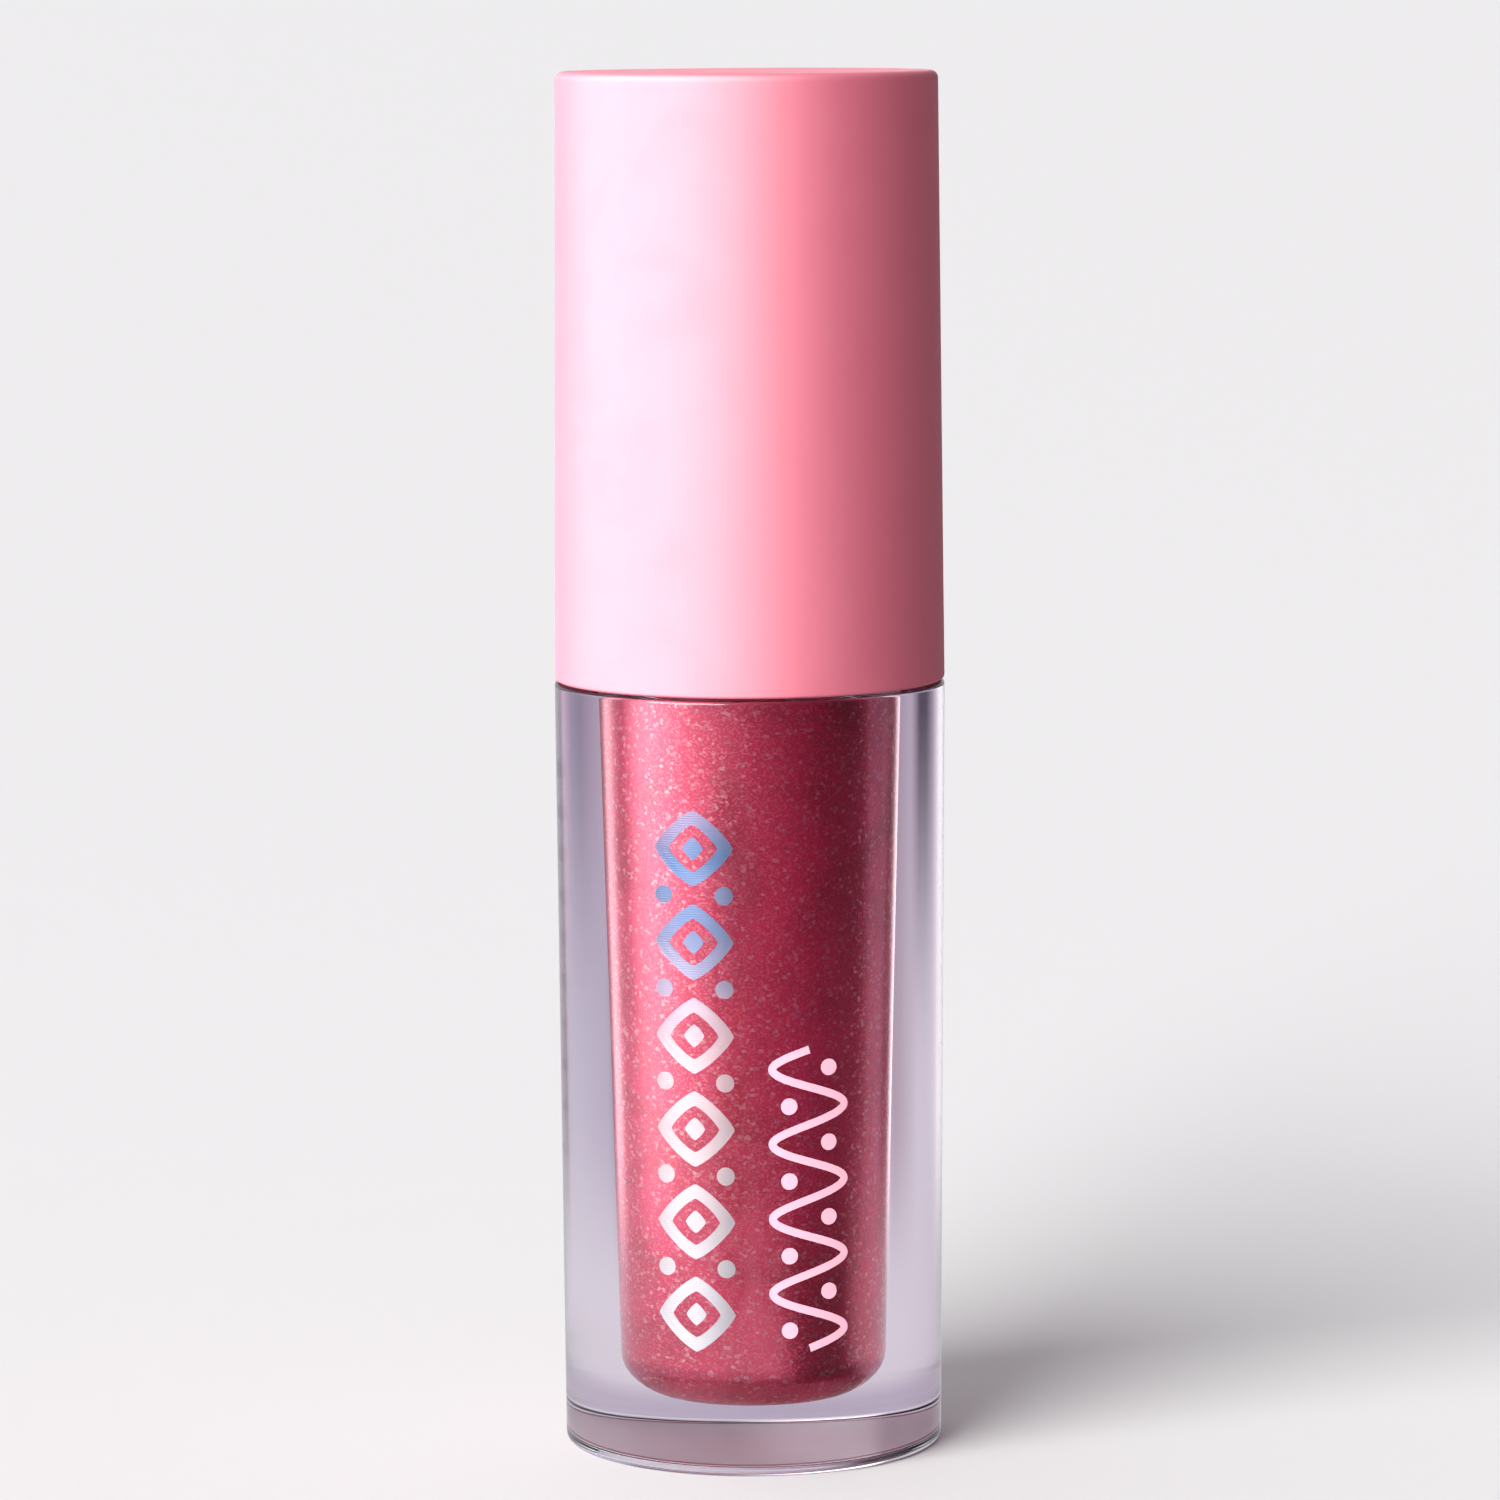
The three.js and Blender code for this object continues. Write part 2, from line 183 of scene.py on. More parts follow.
def turned(corners, columns=160, relief=None, closed=False, **options):
    # radius(row) and height(row) carried round the axis: x = radius cos angle, y = radius sin angle.
    # relief(radius, height, angle) is added to the radius.
    outline = roundedOutline(corners, **options)
    if closed:
        outline = outline[:-1]
    else:
        outline = outline[outline[:, 0] > 1e-6]
    angle = around(columns)
    radius, height = np.broadcast_arrays(outline[:, :1], outline[:, 1:], angle[None])[:2]
    if relief is not None:
        radius = radius + relief(radius, height, angle[None])
    rings = np.stack([radius * np.cos(angle), radius * np.sin(angle), height], axis=-1)
    return closedSkin(rings, capped=not closed)


thread = {"pitch": 2.0, "turns": 1.5, "depth": 0.6, "rootWidth": 1.1, "crestWidth": 0.5, "start": 3.0,
          "runOut": 0.12,  # of a turn, where the ridge fades at each end
          "runOutShift": 0.2}  # of the fade, by which it begins before the end


def threadRelief(startLevel, wallRadius, inward):
    # A ridge along height = start + pitch * turns turned: full inside the crest width, sloping to nothing at
    # the root width, and fading at both ends. It stands only on the wall whose radius is given.
    def relief(radius, height, angle):
        turn = angle / (2 * math.pi)
        lap = np.round((height - startLevel) / thread["pitch"] - turn)
        along = turn + lap
        away = np.abs(height - startLevel - thread["pitch"] * along)
        slope = (thread["rootWidth"] / 2 - away) / ((thread["rootWidth"] - thread["crestWidth"]) / 2)
        fade = smoothStep(along / thread["runOut"] + thread["runOutShift"])
        fade = fade * smoothStep((thread["turns"] - along) / thread["runOut"] + thread["runOutShift"])
        onWall = np.abs(radius - wallRadius) < 1e-3
        return smoothStep(slope) * fade * thread["depth"] * onWall * (-1 if inward else 1)
    return relief


# Node helpers

def setInputs(tree, node, inputs):
    # an output socket is linked, and anything else is the socket's plain value
    for name, value in inputs.items():
        if isinstance(value, bpy.types.NodeSocket):
            tree.links.new(value, node.inputs[name])
        else:
            node.inputs[name].default_value = value


def addNode(tree, kind, spot, inputs=None, **settings):
    made = tree.nodes.new(kind)
    made.location = spot
    for name, value in settings.items():
        setattr(made, name, value)
    setInputs(tree, made, inputs or {})
    return made


def useGroup(tree, group, spot, inputs):
    return addNode(tree, "ShaderNodeGroup", spot, inputs, node_tree=group).outputs


def solid(colour):
    return (*colour, 1)


def noise(tree, spot, place, scale, detail=2.0, distortion=0.0):
    inputs = {"Vector": place, "Scale": scale, "Detail": detail, "Distortion": distortion}
    return addNode(tree, "ShaderNodeTexNoise", spot, inputs).outputs["Fac"]


def calc(tree, operation, spot, *values):
    # one step of arithmetic; MULTIPLY_ADD is first * second + third
    return addNode(tree, "ShaderNodeMath", spot, dict(enumerate(values)), operation=operation).outputs[0]


def calcVector(tree, operation, spot, *values):
    return addNode(tree, "ShaderNodeVectorMath", spot, dict(enumerate(values)), operation=operation).outputs


def scaled(tree, spot, vector, factor):
    inputs = {0: vector, "Scale": factor}
    return addNode(tree, "ShaderNodeVectorMath", spot, inputs, operation="SCALE").outputs["Vector"]


def remap(tree, spot, value, start=(0, 1), end=(0, 1), **settings):
    # the range start carried onto the range end
    inputs = {"Value": value, "From Min": start[0], "From Max": start[1], "To Min": end[0], "To Max": end[1]}
    return addNode(tree, "ShaderNodeMapRange", spot, inputs, **settings).outputs["Result"]


def blend(tree, spot, factor, first, second, kind="RGBA"):
    # the first at factor 0, the second at factor 1
    inputs = {"Factor": factor, "A": first, "B": second}
    return addNode(tree, "ShaderNodeMix", spot, inputs, data_type=kind).outputs["Result"]


def colourRamp(tree, spot, factor, stops, interpolation="LINEAR"):
    # stops are (position, colour); the first and the last take the two stops that a new ramp has
    made = addNode(tree, "ShaderNodeValToRGB", spot, {"Fac": factor})
    ramp = made.color_ramp
    ramp.interpolation = interpolation
    ramp.elements[0].color = solid(stops[0][1])
    ramp.elements[1].position = stops[-1][0]
    ramp.elements[1].color = solid(stops[-1][1])
    for position, colour in stops[1:-1]:
        ramp.elements.new(position).color = solid(colour)
    return made.outputs["Color"]


def addBump(tree, shader, spot, height, depth):
    # depth is in millimetres
    bump = addNode(tree, "ShaderNodeBump", spot, {"Height": height, "Distance": depth * mm})
    tree.links.new(bump.outputs["Normal"], shader.inputs["Normal"])


def newMaterial(name, colour, inputs=None):
    # a material with its Principled shader; values are set on the shader's own sockets
    material = bpy.data.materials.new(name)
    material.use_nodes = True
    tree = material.node_tree
    shader = tree.nodes["Principled BSDF"]
    shader.inputs["Base Color"].default_value = solid(colour)
    material.diffuse_color = solid(colour)
    setInputs(tree, shader, inputs or {})
    return material, tree, shader


def newGroup(name, inputs, outputs):
    group = bpy.data.node_groups.new(name, "ShaderNodeTree")
    for label, kind, value in inputs:
        socket = group.interface.new_socket(label, in_out="INPUT", socket_type=kind)
        if value is not None:
            socket.default_value = value
    for label, kind in outputs:
        group.interface.new_socket(label, in_out="OUTPUT", socket_type=kind)
    start = addNode(group, "NodeGroupInput", (-900, 0))
    end = addNode(group, "NodeGroupOutput", (700, 0))
    return group, start.outputs, end


def objectPlace(tree, spot=(-1100, 0), scale=(1, 1, 1)):
    place = addNode(tree, "ShaderNodeTexCoord", spot)
    inputs = {"Vector": place.outputs["Object"], "Scale": scale}
    return addNode(tree, "ShaderNodeMapping", (spot[0] + 180, spot[1]), inputs).outputs["Vector"]


skinPattern = {"mottleScale": 110.0, "smudgeScale": 260.0, "smudgeRange": (0.42, 0.7), "smudgeWarp": 1.5}


def mouldedSkinGroup():
    # Moulded plastic: slow mottling of the colour, fine grain for bump, and faint smudges in the roughness
    group, given, wanted = newGroup(
        "mouldedSkin",
        [("Color", "NodeSocketColor", None), ("Roughness", "NodeSocketFloat", 0.4),
         ("Grain Scale", "NodeSocketFloat", 9000.0), ("Mottle", "NodeSocketFloat", 0.04),
         ("Smudge", "NodeSocketFloat", 0.06), ("Place", "NodeSocketVector", None)],
        [("Color", "NodeSocketColor"), ("Roughness", "NodeSocketFloat"), ("Height", "NodeSocketFloat")])
    cloud = noise(group, (-600, 250), given["Place"], skinPattern["mottleScale"], detail=3)
    shift = calc(group, "SUBTRACT", (-380, 250), cloud, 0.5)
    amount = calc(group, "MULTIPLY_ADD", (-200, 250), shift, given["Mottle"], 1.0)
    tint = scaled(group, (0, 250), given["Color"], amount)
    wipe = noise(group, (-600, -350), given["Place"], skinPattern["smudgeScale"], detail=5,
                 distortion=skinPattern["smudgeWarp"])
    patch = remap(group, (-380, -350), wipe, start=skinPattern["smudgeRange"])
    rough = calc(group, "MULTIPLY_ADD", (0, -200), patch, given["Smudge"], given["Roughness"])
    grain = noise(group, (-600, -50), given["Place"], given["Grain Scale"])
    setInputs(group, wanted, {"Color": tint, "Roughness": rough, "Height": grain})
    return group


def flakeGroup():
    # Shimmer: cells of random tint, of which a share stand out as flakes, each tilted its own way
    group, given, wanted = newGroup(
        "shimmerFlakes",
        [("Place", "NodeSocketVector", None), ("Flake Scale", "NodeSocketFloat", 7000.0),
         ("Share", "NodeSocketFloat", 0.3), ("Tilt", "NodeSocketFloat", 0.5)],
        [("Mask", "NodeSocketFloat"), ("Tint", "NodeSocketFloat"), ("Normal", "NodeSocketVector")])
    inputs = {"Vector": given["Place"], "Scale": given["Flake Scale"]}
    cells = addNode(group, "ShaderNodeTexVoronoi", (-600, 100), inputs).outputs["Color"]
    parts = addNode(group, "ShaderNodeSeparateColor", (-400, 100), {"Color": cells}).outputs
    chosen = calc(group, "LESS_THAN", (-200, 200), parts["Red"], given["Share"])
    lean = calcVector(group, "SUBTRACT", (-400, -150), cells, (0.5, 0.5, 0.5))["Vector"]
    strength = scaled(group, (-200, -150), lean, given["Tilt"])
    surface = addNode(group, "ShaderNodeNewGeometry", (-200, -350)).outputs["Normal"]
    tilted = calcVector(group, "ADD", (0, -150), strength, surface)["Vector"]
    unit = calcVector(group, "NORMALIZE", (180, -150), tilted)["Vector"]
    setInputs(group, wanted, {"Mask": chosen, "Tint": parts["Green"], "Normal": unit})
    return group


mouldedSkin = mouldedSkinGroup()
shimmerFlakes = flakeGroup()


def mouldedMaterial(name, colour, roughness, grainScale=9000.0, grainDepth=0.004, mottle=0.05, smudge=0.06,
                    inputs=None):
    material, tree, shader = newMaterial(name, colour, inputs)
    skin = useGroup(tree, mouldedSkin, (-600, 0), {
        "Place": objectPlace(tree), "Color": solid(colour), "Roughness": roughness,
        "Grain Scale": grainScale, "Mottle": mottle, "Smudge": smudge})
    setInputs(tree, shader, {"Base Color": skin["Color"], "Roughness": skin["Roughness"]})
    addBump(tree, shader, (-300, -300), skin["Height"], grainDepth)
    return material


# Clear bottle

bottle = {"draft": 0.38, "baseEdge": 0.35, "shoulderEdge": 0.15, "neckEdge": 0.22, "neckWall": 1.2,
          "flangeInset": 0.15, "seatDepth": 9.0, "boreDraft": 1.0, "boreFillet": 2.1, "glossGap": 0.06,
          "recessDepth": 0.3, "labelMargin": 0.2, "shoulderGap": 0.15, "threadStep": 0.07,
          "ior": 1.57, "tint": (0.985, 0.98, 0.99), "roughness": 0.012, "mottle": 0.01, "smudge": 0.02,
          "depthTint": (0.70, 0.64, 0.71), "depthDensity": 58.0,
          "rippleScale": 320, "rippleStretch": 0.12, "rippleDepth": 0.006}
shoulder = rimLevel - bottle["shoulderGap"]
neckRadius = flangeRadius + bottle["flangeInset"]
seatRadius = neckRadius - bottle["neckWall"]
seatFloor = neckTop - bottle["seatDepth"]
boreFloor = glossBottom - bottle["glossGap"]
boreSlope = math.tan(math.radians(bottle["boreDraft"]))
wallSlope = math.tan(math.radians(bottle["draft"]))


def boreRadiusAt(height):
    return glossRadius + bottle["glossGap"] - (glossTop - height) * boreSlope


def wallRadiusAt(height):
    return bodyRadius - (shoulder - height) * wallSlope


def clearPlastic():
    # clear moulded wall: a mauve tint that deepens with its thickness, and faint flow ripples up its height
    material, tree, shader = newMaterial("clearPlastic", bottle["tint"], {
        "Transmission Weight": 1.0, "IOR": bottle["ior"]})
    skin = useGroup(tree, mouldedSkin, (-600, 0), {
        "Place": objectPlace(tree), "Color": solid(bottle["tint"]), "Roughness": bottle["roughness"],
        "Mottle": bottle["mottle"], "Smudge": bottle["smudge"]})
    setInputs(tree, shader, {"Base Color": skin["Color"], "Roughness": skin["Roughness"]})
    upright = objectPlace(tree, (-1100, -350), (1, 1, bottle["rippleStretch"]))
    flow = noise(tree, (-600, -350), upright, bottle["rippleScale"], detail=1)
    addBump(tree, shader, (-300, -300), flow, bottle["rippleDepth"])
    inputs = {"Color": solid(bottle["depthTint"]), "Density": bottle["depthDensity"]}
    depth = addNode(tree, "ShaderNodeVolumeAbsorption", (0, -500), inputs)
    tree.links.new(depth.outputs["Volume"], tree.nodes["Material Output"].inputs["Volume"])
    return material


def makeBottle():
    recess = labelRadius + bottle["labelMargin"]
    corners = [
        (0, bottle["recessDepth"], 0),
        (recess, bottle["recessDepth"], 0.08),
        (recess, 0, 0.1),
        (wallRadiusAt(0), 0, bottle["baseEdge"]),
        (bodyRadius, shoulder, bottle["shoulderEdge"]),
        (neckRadius, shoulder, 0.15, bottle["threadStep"]),
        (neckRadius, neckTop, bottle["neckEdge"]),
        (seatRadius, neckTop, 0.15),
        (seatRadius, seatFloor, 0.05),
        (boreRadiusAt(seatFloor), seatFloor, 0.08),
        (boreRadiusAt(boreFloor), boreFloor, bottle["boreFillet"]),
        (0, boreFloor, 0),
    ]
    ridge = threadRelief(shoulder + thread["start"], neckRadius, inward=False)
    skin = turned(corners, columns=168, relief=ridge, arcPoints=8)
    piece = putMesh("clearBottle", skin, clearPlastic())
    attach(piece, "bottle_body")
    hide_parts("bottle")
    print("clear bottle:", len(skin[0]), "points")


makeBottle()

# Gloss fill

gloss = {"base": (0.88, 0.022, 0.120), "deep": (0.62, 0.006, 0.058), "flake": (1.0, 0.36, 0.47),
         "gold": (1.0, 0.66, 0.62), "metallic": 0.85, "roughness": 0.37,
         "coat": 1.0, "coatRoughness": 0.2, "coatIor": 1.85,
         "swirlScale": 160, "swirlRange": (0.3, 0.55),
         "fineScale": 12000.0, "fineShare": 0.34, "fineTilt": 0.32, "shimmer": 0.17,
         "coarseScale": 6000.0, "coarseShare": 0.1, "coarseTilt": 0.5, "glints": 0.4,
         "intoWall": 0.02, "channelMargin": 0.06, "channelDrop": 0.4, "lipClearance": 0.18,
         "topEdge": 0.12, "topDip": 0.35, "channelStep": 0.15}
channelRadius = rodRadius + gloss["lipClearance"] + gloss["channelMargin"]


def shimmerGloss():
    # opaque rose gel: slow swirls between two reds, a fine shimmer that tints them, and coarser glints
    material, tree, shader = newMaterial("shimmerGloss", gloss["base"], {
        "Roughness": gloss["roughness"], "Coat Weight": gloss["coat"],
        "Coat Roughness": gloss["coatRoughness"], "Coat IOR": gloss["coatIor"]})
    place = objectPlace(tree)
    swirl = noise(tree, (-700, 300), place, gloss["swirlScale"], detail=4, distortion=1.2)
    spread = remap(tree, (-600, 150), swirl, start=gloss["swirlRange"])
    body = blend(tree, (-450, 300), spread, solid(gloss["deep"]), solid(gloss["base"]))
    fine, coarse = (
        useGroup(tree, shimmerFlakes, spot, {
            "Place": place, "Flake Scale": gloss[kind + "Scale"], "Share": gloss[kind + "Share"],
            "Tilt": gloss[kind + "Tilt"]})
        for kind, spot in (("fine", (-700, -50)), ("coarse", (-700, -350))))
    flakeTint = blend(tree, (-450, -50), fine["Tint"], solid(gloss["flake"]), solid(gloss["gold"]))
    shimmer = calc(tree, "MULTIPLY", (-450, -400), fine["Mask"], gloss["shimmer"])
    amount = calc(tree, "MULTIPLY_ADD", (-320, -100), coarse["Mask"], gloss["glints"], shimmer)
    colour = blend(tree, (-200, 200), amount, body, flakeTint)
    either = calc(tree, "MAXIMUM", (-450, -250), fine["Mask"], coarse["Mask"])
    metal = remap(tree, (-200, -150), either, end=(gloss["metallic"], 1.0))
    surface = addNode(tree, "ShaderNodeNewGeometry", (-450, -500)).outputs["Normal"]
    normal = blend(tree, (-200, -400), either, surface, fine["Normal"], "VECTOR")
    setInputs(tree, shader, {"Base Color": colour, "Metallic": metal, "Normal": normal})
    return material


def makeGloss():
    # fills the bore and reaches a hair into its wall, so that no air film shows between them
    reach = gloss["intoWall"]
    bottom = boreFloor - reach
    floor = flockBottom - gloss["channelDrop"]
    corners = [
        (0, bottom, 0),
        (boreRadiusAt(bottom) + reach, bottom, bottle["boreFillet"]),
        (boreRadiusAt(glossTop) + reach, glossTop, gloss["topEdge"]),
        ((boreRadiusAt(glossTop) + channelRadius) / 2, glossTop - gloss["topDip"], 0.8),
        (channelRadius, glossTop - gloss["channelStep"], 0.1),
        (channelRadius, floor, 0.3),
        (0, floor, 0),
    ]
    skin = turned(corners, columns=168, arcPoints=10)
    piece = putMesh("glossFill", skin, shimmerGloss())
    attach(piece, "bottle_body")
    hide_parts("gloss")
    print("gloss fill:", len(skin[0]), "points")


makeGloss()

# Satin cap

cap = {"wall": 1.3, "ceiling": 1.6, "draft": 0.5, "topEdge": 0.4, "rimEdge": 0.15, "ceilingFillet": 0.4,
       "colour": (0.535, 0.088, 0.150), "roughness": 0.57, "grainDepth": 0.0035, "mottle": 0.035,
       "smudge": 0.05}
capSlope = math.tan(math.radians(cap["draft"]))


def capBoreAt(height):
    # the bore narrows half as fast as the outside
    return capRadius - cap["wall"] - (height - rimLevel) * capSlope / 2


def makeOvercap():
    material = mouldedMaterial("satinPink", cap["colour"], cap["roughness"], grainDepth=cap["grainDepth"],
                               mottle=cap["mottle"], smudge=cap["smudge"])
    ceiling = capTop - cap["ceiling"]
    topRadius = capRadius - (capTop - rimLevel) * capSlope
    corners = [
        (0, ceiling, 0),
        (capBoreAt(ceiling), ceiling, cap["ceilingFillet"]),
        (capBoreAt(rimLevel), rimLevel, 0.12),
        (capRadius, rimLevel, cap["rimEdge"]),
        (topRadius, capTop, cap["topEdge"]),
        (0, capTop, 0),
    ]
    skin = turned(corners, columns=168, arcPoints=9)
    piece = putMesh("satinCap", skin, material)
    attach(piece, "cap_body")
    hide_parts("overcap")
    print("satin cap:", len(skin[0]), "points")


makeOvercap()

# Inner cap, with its thread, splines and ribs

insert = {"skirtWall": 0.6, "sleeveWall": 0.9, "rimStep": 0.25, "rimHeight": 0.3, "roof": 1.3,
          "seatGap": 0.05,
          "splineCount": 12, "splineHeight": 0.18, "splineWidth": 0.9, "splineEdge": 0.1,
          "splineStart": 1.4, "splineEnd": 0.9, "splineFade": 0.3,
          "bossWall": 1.3, "plugGap": 0.1, "plugTopGap": 0.4, "collarDepth": 0.65,
          "ribCount": 6, "ribWidth": 0.8, "ribPower": 8, "ribBite": 0.15, "ribSink": 0.1, "ribDrop": 0.6,
          "ribColumns": 24, "ribRows": 8,
          "colour": (0.83, 0.80, 0.78), "roughness": 0.34, "grainDepth": 0.003, "mottle": 0.03,
          "glow": 0.15, "glowDepth": 0.0015}
sleeveRadius = insertRadius - insert["splineHeight"]
sleeveInner = sleeveRadius - insert["sleeveWall"]
femaleRoot = sleeveRadius - insert["skirtWall"]
roofUnderside = linerTop + insert["seatGap"]
roofTop = roofUnderside + insert["roof"]
bossRadius = rodRadius + insert["plugGap"] + insert["bossWall"]
socketTop = rodTop + insert["plugTopGap"]
bossTop = socketTop + insert["bossWall"]


def insertRelief(radius, height, angle):
    # the thread inside the skirt, and a row of upright splines outside the sleeve
    inside = threadRelief(shoulder + thread["start"] - thread["pitch"] / 2, femaleRoot, inward=True)
    turn = angle / (2 * math.pi) * insert["splineCount"] - 0.5
    away = np.abs(turn - np.round(turn)) * 2 * math.pi * sleeveRadius / insert["splineCount"]
    edge, fade = insert["splineEdge"], insert["splineFade"]
    profile = smoothStep((insert["splineWidth"] / 2 + edge - away) / (2 * edge))
    ends = smoothStep((height - insertBottom - insert["splineStart"]) / fade)
    ends = ends * smoothStep((insertTop - insert["splineEnd"] - height) / fade)
    outside = profile * ends * insert["splineHeight"] * (np.abs(radius - sleeveRadius) < 1e-3)
    return inside(radius, height, angle) + outside


def ribSkin():
    # upright plates of superellipse section, which reach a little into the boss and the sleeve
    alongHalf = (sleeveInner - bossRadius) / 2 + insert["ribBite"]
    along, across = superellipse(alongHalf, insert["ribWidth"] / 2, insert["ribPower"], insert["ribColumns"])
    along = (sleeveInner + bossRadius) / 2 + along
    levels = np.linspace(roofTop - insert["ribSink"], bossTop - insert["ribDrop"], insert["ribRows"])[:, None]
    ribs = []
    for angle in around(insert["ribCount"]):
        x = along * math.cos(angle) - across * math.sin(angle)
        y = along * math.sin(angle) + across * math.cos(angle)
        ribs.append(closedSkin(np.stack(np.broadcast_arrays(x[None], y[None], levels), axis=-1)))
    return joinSkins(ribs)


def makeInnerCap():
    material = mouldedMaterial("naturalPlastic", insert["colour"], insert["roughness"],
                               grainDepth=insert["grainDepth"], mottle=insert["mottle"],
                               inputs={"Subsurface Weight": insert["glow"],
                                       "Subsurface Scale": insert["glowDepth"]})
    collarTop = roofUnderside + insert["collarDepth"]
    corners = [
        (0, socketTop, 0),
        (rodRadius + insert["plugGap"], socketTop, 0.1),
        (rodRadius + insert["plugGap"], collarTop, 0.06),
        (collarRadius + insert["plugGap"], collarTop, 0.05),
        (collarRadius + insert["plugGap"], roofUnderside, 0.06),
        (femaleRoot, roofUnderside, 0.2, 0.08),
        (femaleRoot, insertBottom, 0.1),
        (sleeveRadius - insert["rimStep"], insertBottom, 0.08),
        (sleeveRadius, insertBottom + insert["rimHeight"], 0.1, 0.25),
        (sleeveRadius, insertTop, 0.12),
        (sleeveInner, insertTop, 0.12),
        (sleeveInner, roofTop, 0.3),
        (bossRadius, roofTop, 0.2),
        (bossRadius, bossTop, 0.2),
        (0, bossTop, 0),
    ]
    skin = turned(corners, columns=180, relief=insertRelief, arcPoints=6)
    piece = putMesh("innerCap", skin, material)
    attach(piece, "cap_body")
    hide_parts("inner_cap")
    ribPiece = putMesh("innerCapRibs", ribSkin(), material, smooth=False)
    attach(ribPiece, "cap_body")
    print("inner cap:", len(skin[0]), "points")


makeInnerCap()

# Wiper

wiper = {"flange": 0.8, "wall": 0.75, "lip": 2.1, "lipWall": 0.45, "pressGap": 0.1, "mouth": 0.25,
         "throat": 0.2, "colour": (0.86, 0.85, 0.84), "roughness": 0.38, "glow": 0.3, "glowDepth": 0.001}


def makeWiper():
    material = mouldedMaterial("softNatural", wiper["colour"], wiper["roughness"],
                               inputs={"Subsurface Weight": wiper["glow"],
                                       "Subsurface Scale": wiper["glowDepth"]})
    outer = seatRadius - wiper["pressGap"]
    inner = outer - wiper["wall"]
    lipRadius = rodRadius + gloss["lipClearance"]
    tubeBottom = lipBottom + wiper["lip"]
    underside = wiperTop - wiper["flange"]
    # the outline begins and ends halfway up the lip's inner face
    halfway = ((lipRadius + inner) / 2, (lipBottom + tubeBottom + wiper["throat"]) / 2, 0)
    corners = [
        halfway,
        (lipRadius, lipBottom, 0.06),
        (lipRadius + wiper["lipWall"], lipBottom, 0.1),
        (outer, tubeBottom, 0.3),
        (outer, underside, 0.06),
        (flangeRadius, underside, 0.08),
        (flangeRadius, wiperTop, 0.28),
        (inner - wiper["mouth"], wiperTop, 0.12),
        (inner, underside, 0.4),
        (inner, tubeBottom + wiper["throat"], 0.4),
        halfway,
    ]
    skin = turned(corners, columns=144, closed=True)
    piece = putMesh("wiperInsert", skin, material)
    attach(piece, "bottle_body")
    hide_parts("wiper")


makeWiper()

# Sealing washer

washer = {"rodGap": 0.05, "innerEdge": 0.12, "outerEdge": 0.2, "colour": (0.88, 0.87, 0.86),
          "roughness": 0.62, "grainScale": 5200.0, "grainDepth": 0.02, "mottle": 0.08}


def makeLiner():
    material = mouldedMaterial("sealRing", washer["colour"], washer["roughness"],
                               grainScale=washer["grainScale"], grainDepth=washer["grainDepth"],
                               mottle=washer["mottle"])
    inner = rodRadius + washer["rodGap"]
    halfway = (inner, (linerBottom + linerTop) / 2, 0)
    corners = [
        halfway,
        (inner, linerBottom, washer["innerEdge"]),
        (linerRadius, linerBottom, washer["outerEdge"]),
        (linerRadius, linerTop, washer["outerEdge"]),
        (inner, linerTop, washer["innerEdge"]),
        halfway,
    ]
    skin = turned(corners, columns=120, closed=True)
    piece = putMesh("sealingWasher", skin, material)
    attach(piece, "liner_body")
    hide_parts("cap_liner")
    print("wiper and washer made")


makeLiner()

# Rod

rod = {"collar": 0.6, "barbs": 3, "barbHeight": 0.05, "barbRise": 0.02, "socketGap": 0.1, "socketSpare": 0.2,
       "endEdge": 0.32, "mottle": 0.03, "filmTop": 40.5, "filmAbove": 1.5, "filmBelow": 3.5,
       "filmColour": (0.66, 0.10, 0.19), "filmDepth": 0.04, "thinnest": 0.35, "streakScale": 900,
       "streakStretch": 0.2, "streakRange": (0.2, 0.55), "dryRoughness": 0.34, "wetRoughness": 0.12}


def rodMaterial():
    # natural rod that the gloss has wetted up to the wiper: a thin uneven film, thicker in streaks
    material, tree, shader = newMaterial("wettedRod", insert["colour"])
    place = objectPlace(tree)
    skin = useGroup(tree, mouldedSkin, (-800, 250), {
        "Place": place, "Color": solid(insert["colour"]), "Mottle": rod["mottle"]})
    stretched = objectPlace(tree, (-1300, -200), (1, 1, rod["streakStretch"]))
    streak = noise(tree, (-800, -100), stretched, rod["streakScale"], detail=4)
    level = addNode(tree, "ShaderNodeSeparateXYZ", (-800, -400), {"Vector": place}).outputs["Z"]
    filmEnds = ((rod["filmTop"] + rod["filmAbove"]) * mm, (rod["filmTop"] - rod["filmBelow"]) * mm)
    wet = remap(tree, (-600, -400), level, start=filmEnds, interpolation_type="SMOOTHSTEP")
    uneven = remap(tree, (-600, -100), streak, start=rod["streakRange"], end=(rod["thinnest"], 1))
    film = calc(tree, "MULTIPLY", (-400, -250), wet, uneven)
    colour = blend(tree, (-300, 200), film, skin["Color"], solid(rod["filmColour"]))
    rough = remap(tree, (-300, -150), film, end=(rod["dryRoughness"], rod["wetRoughness"]))
    setInputs(tree, shader, {"Base Color": colour, "Roughness": rough, "Coat Weight": film})
    addBump(tree, shader, (-200, -400), film, rod["filmDepth"])
    return material


wettedPlastic = rodMaterial()


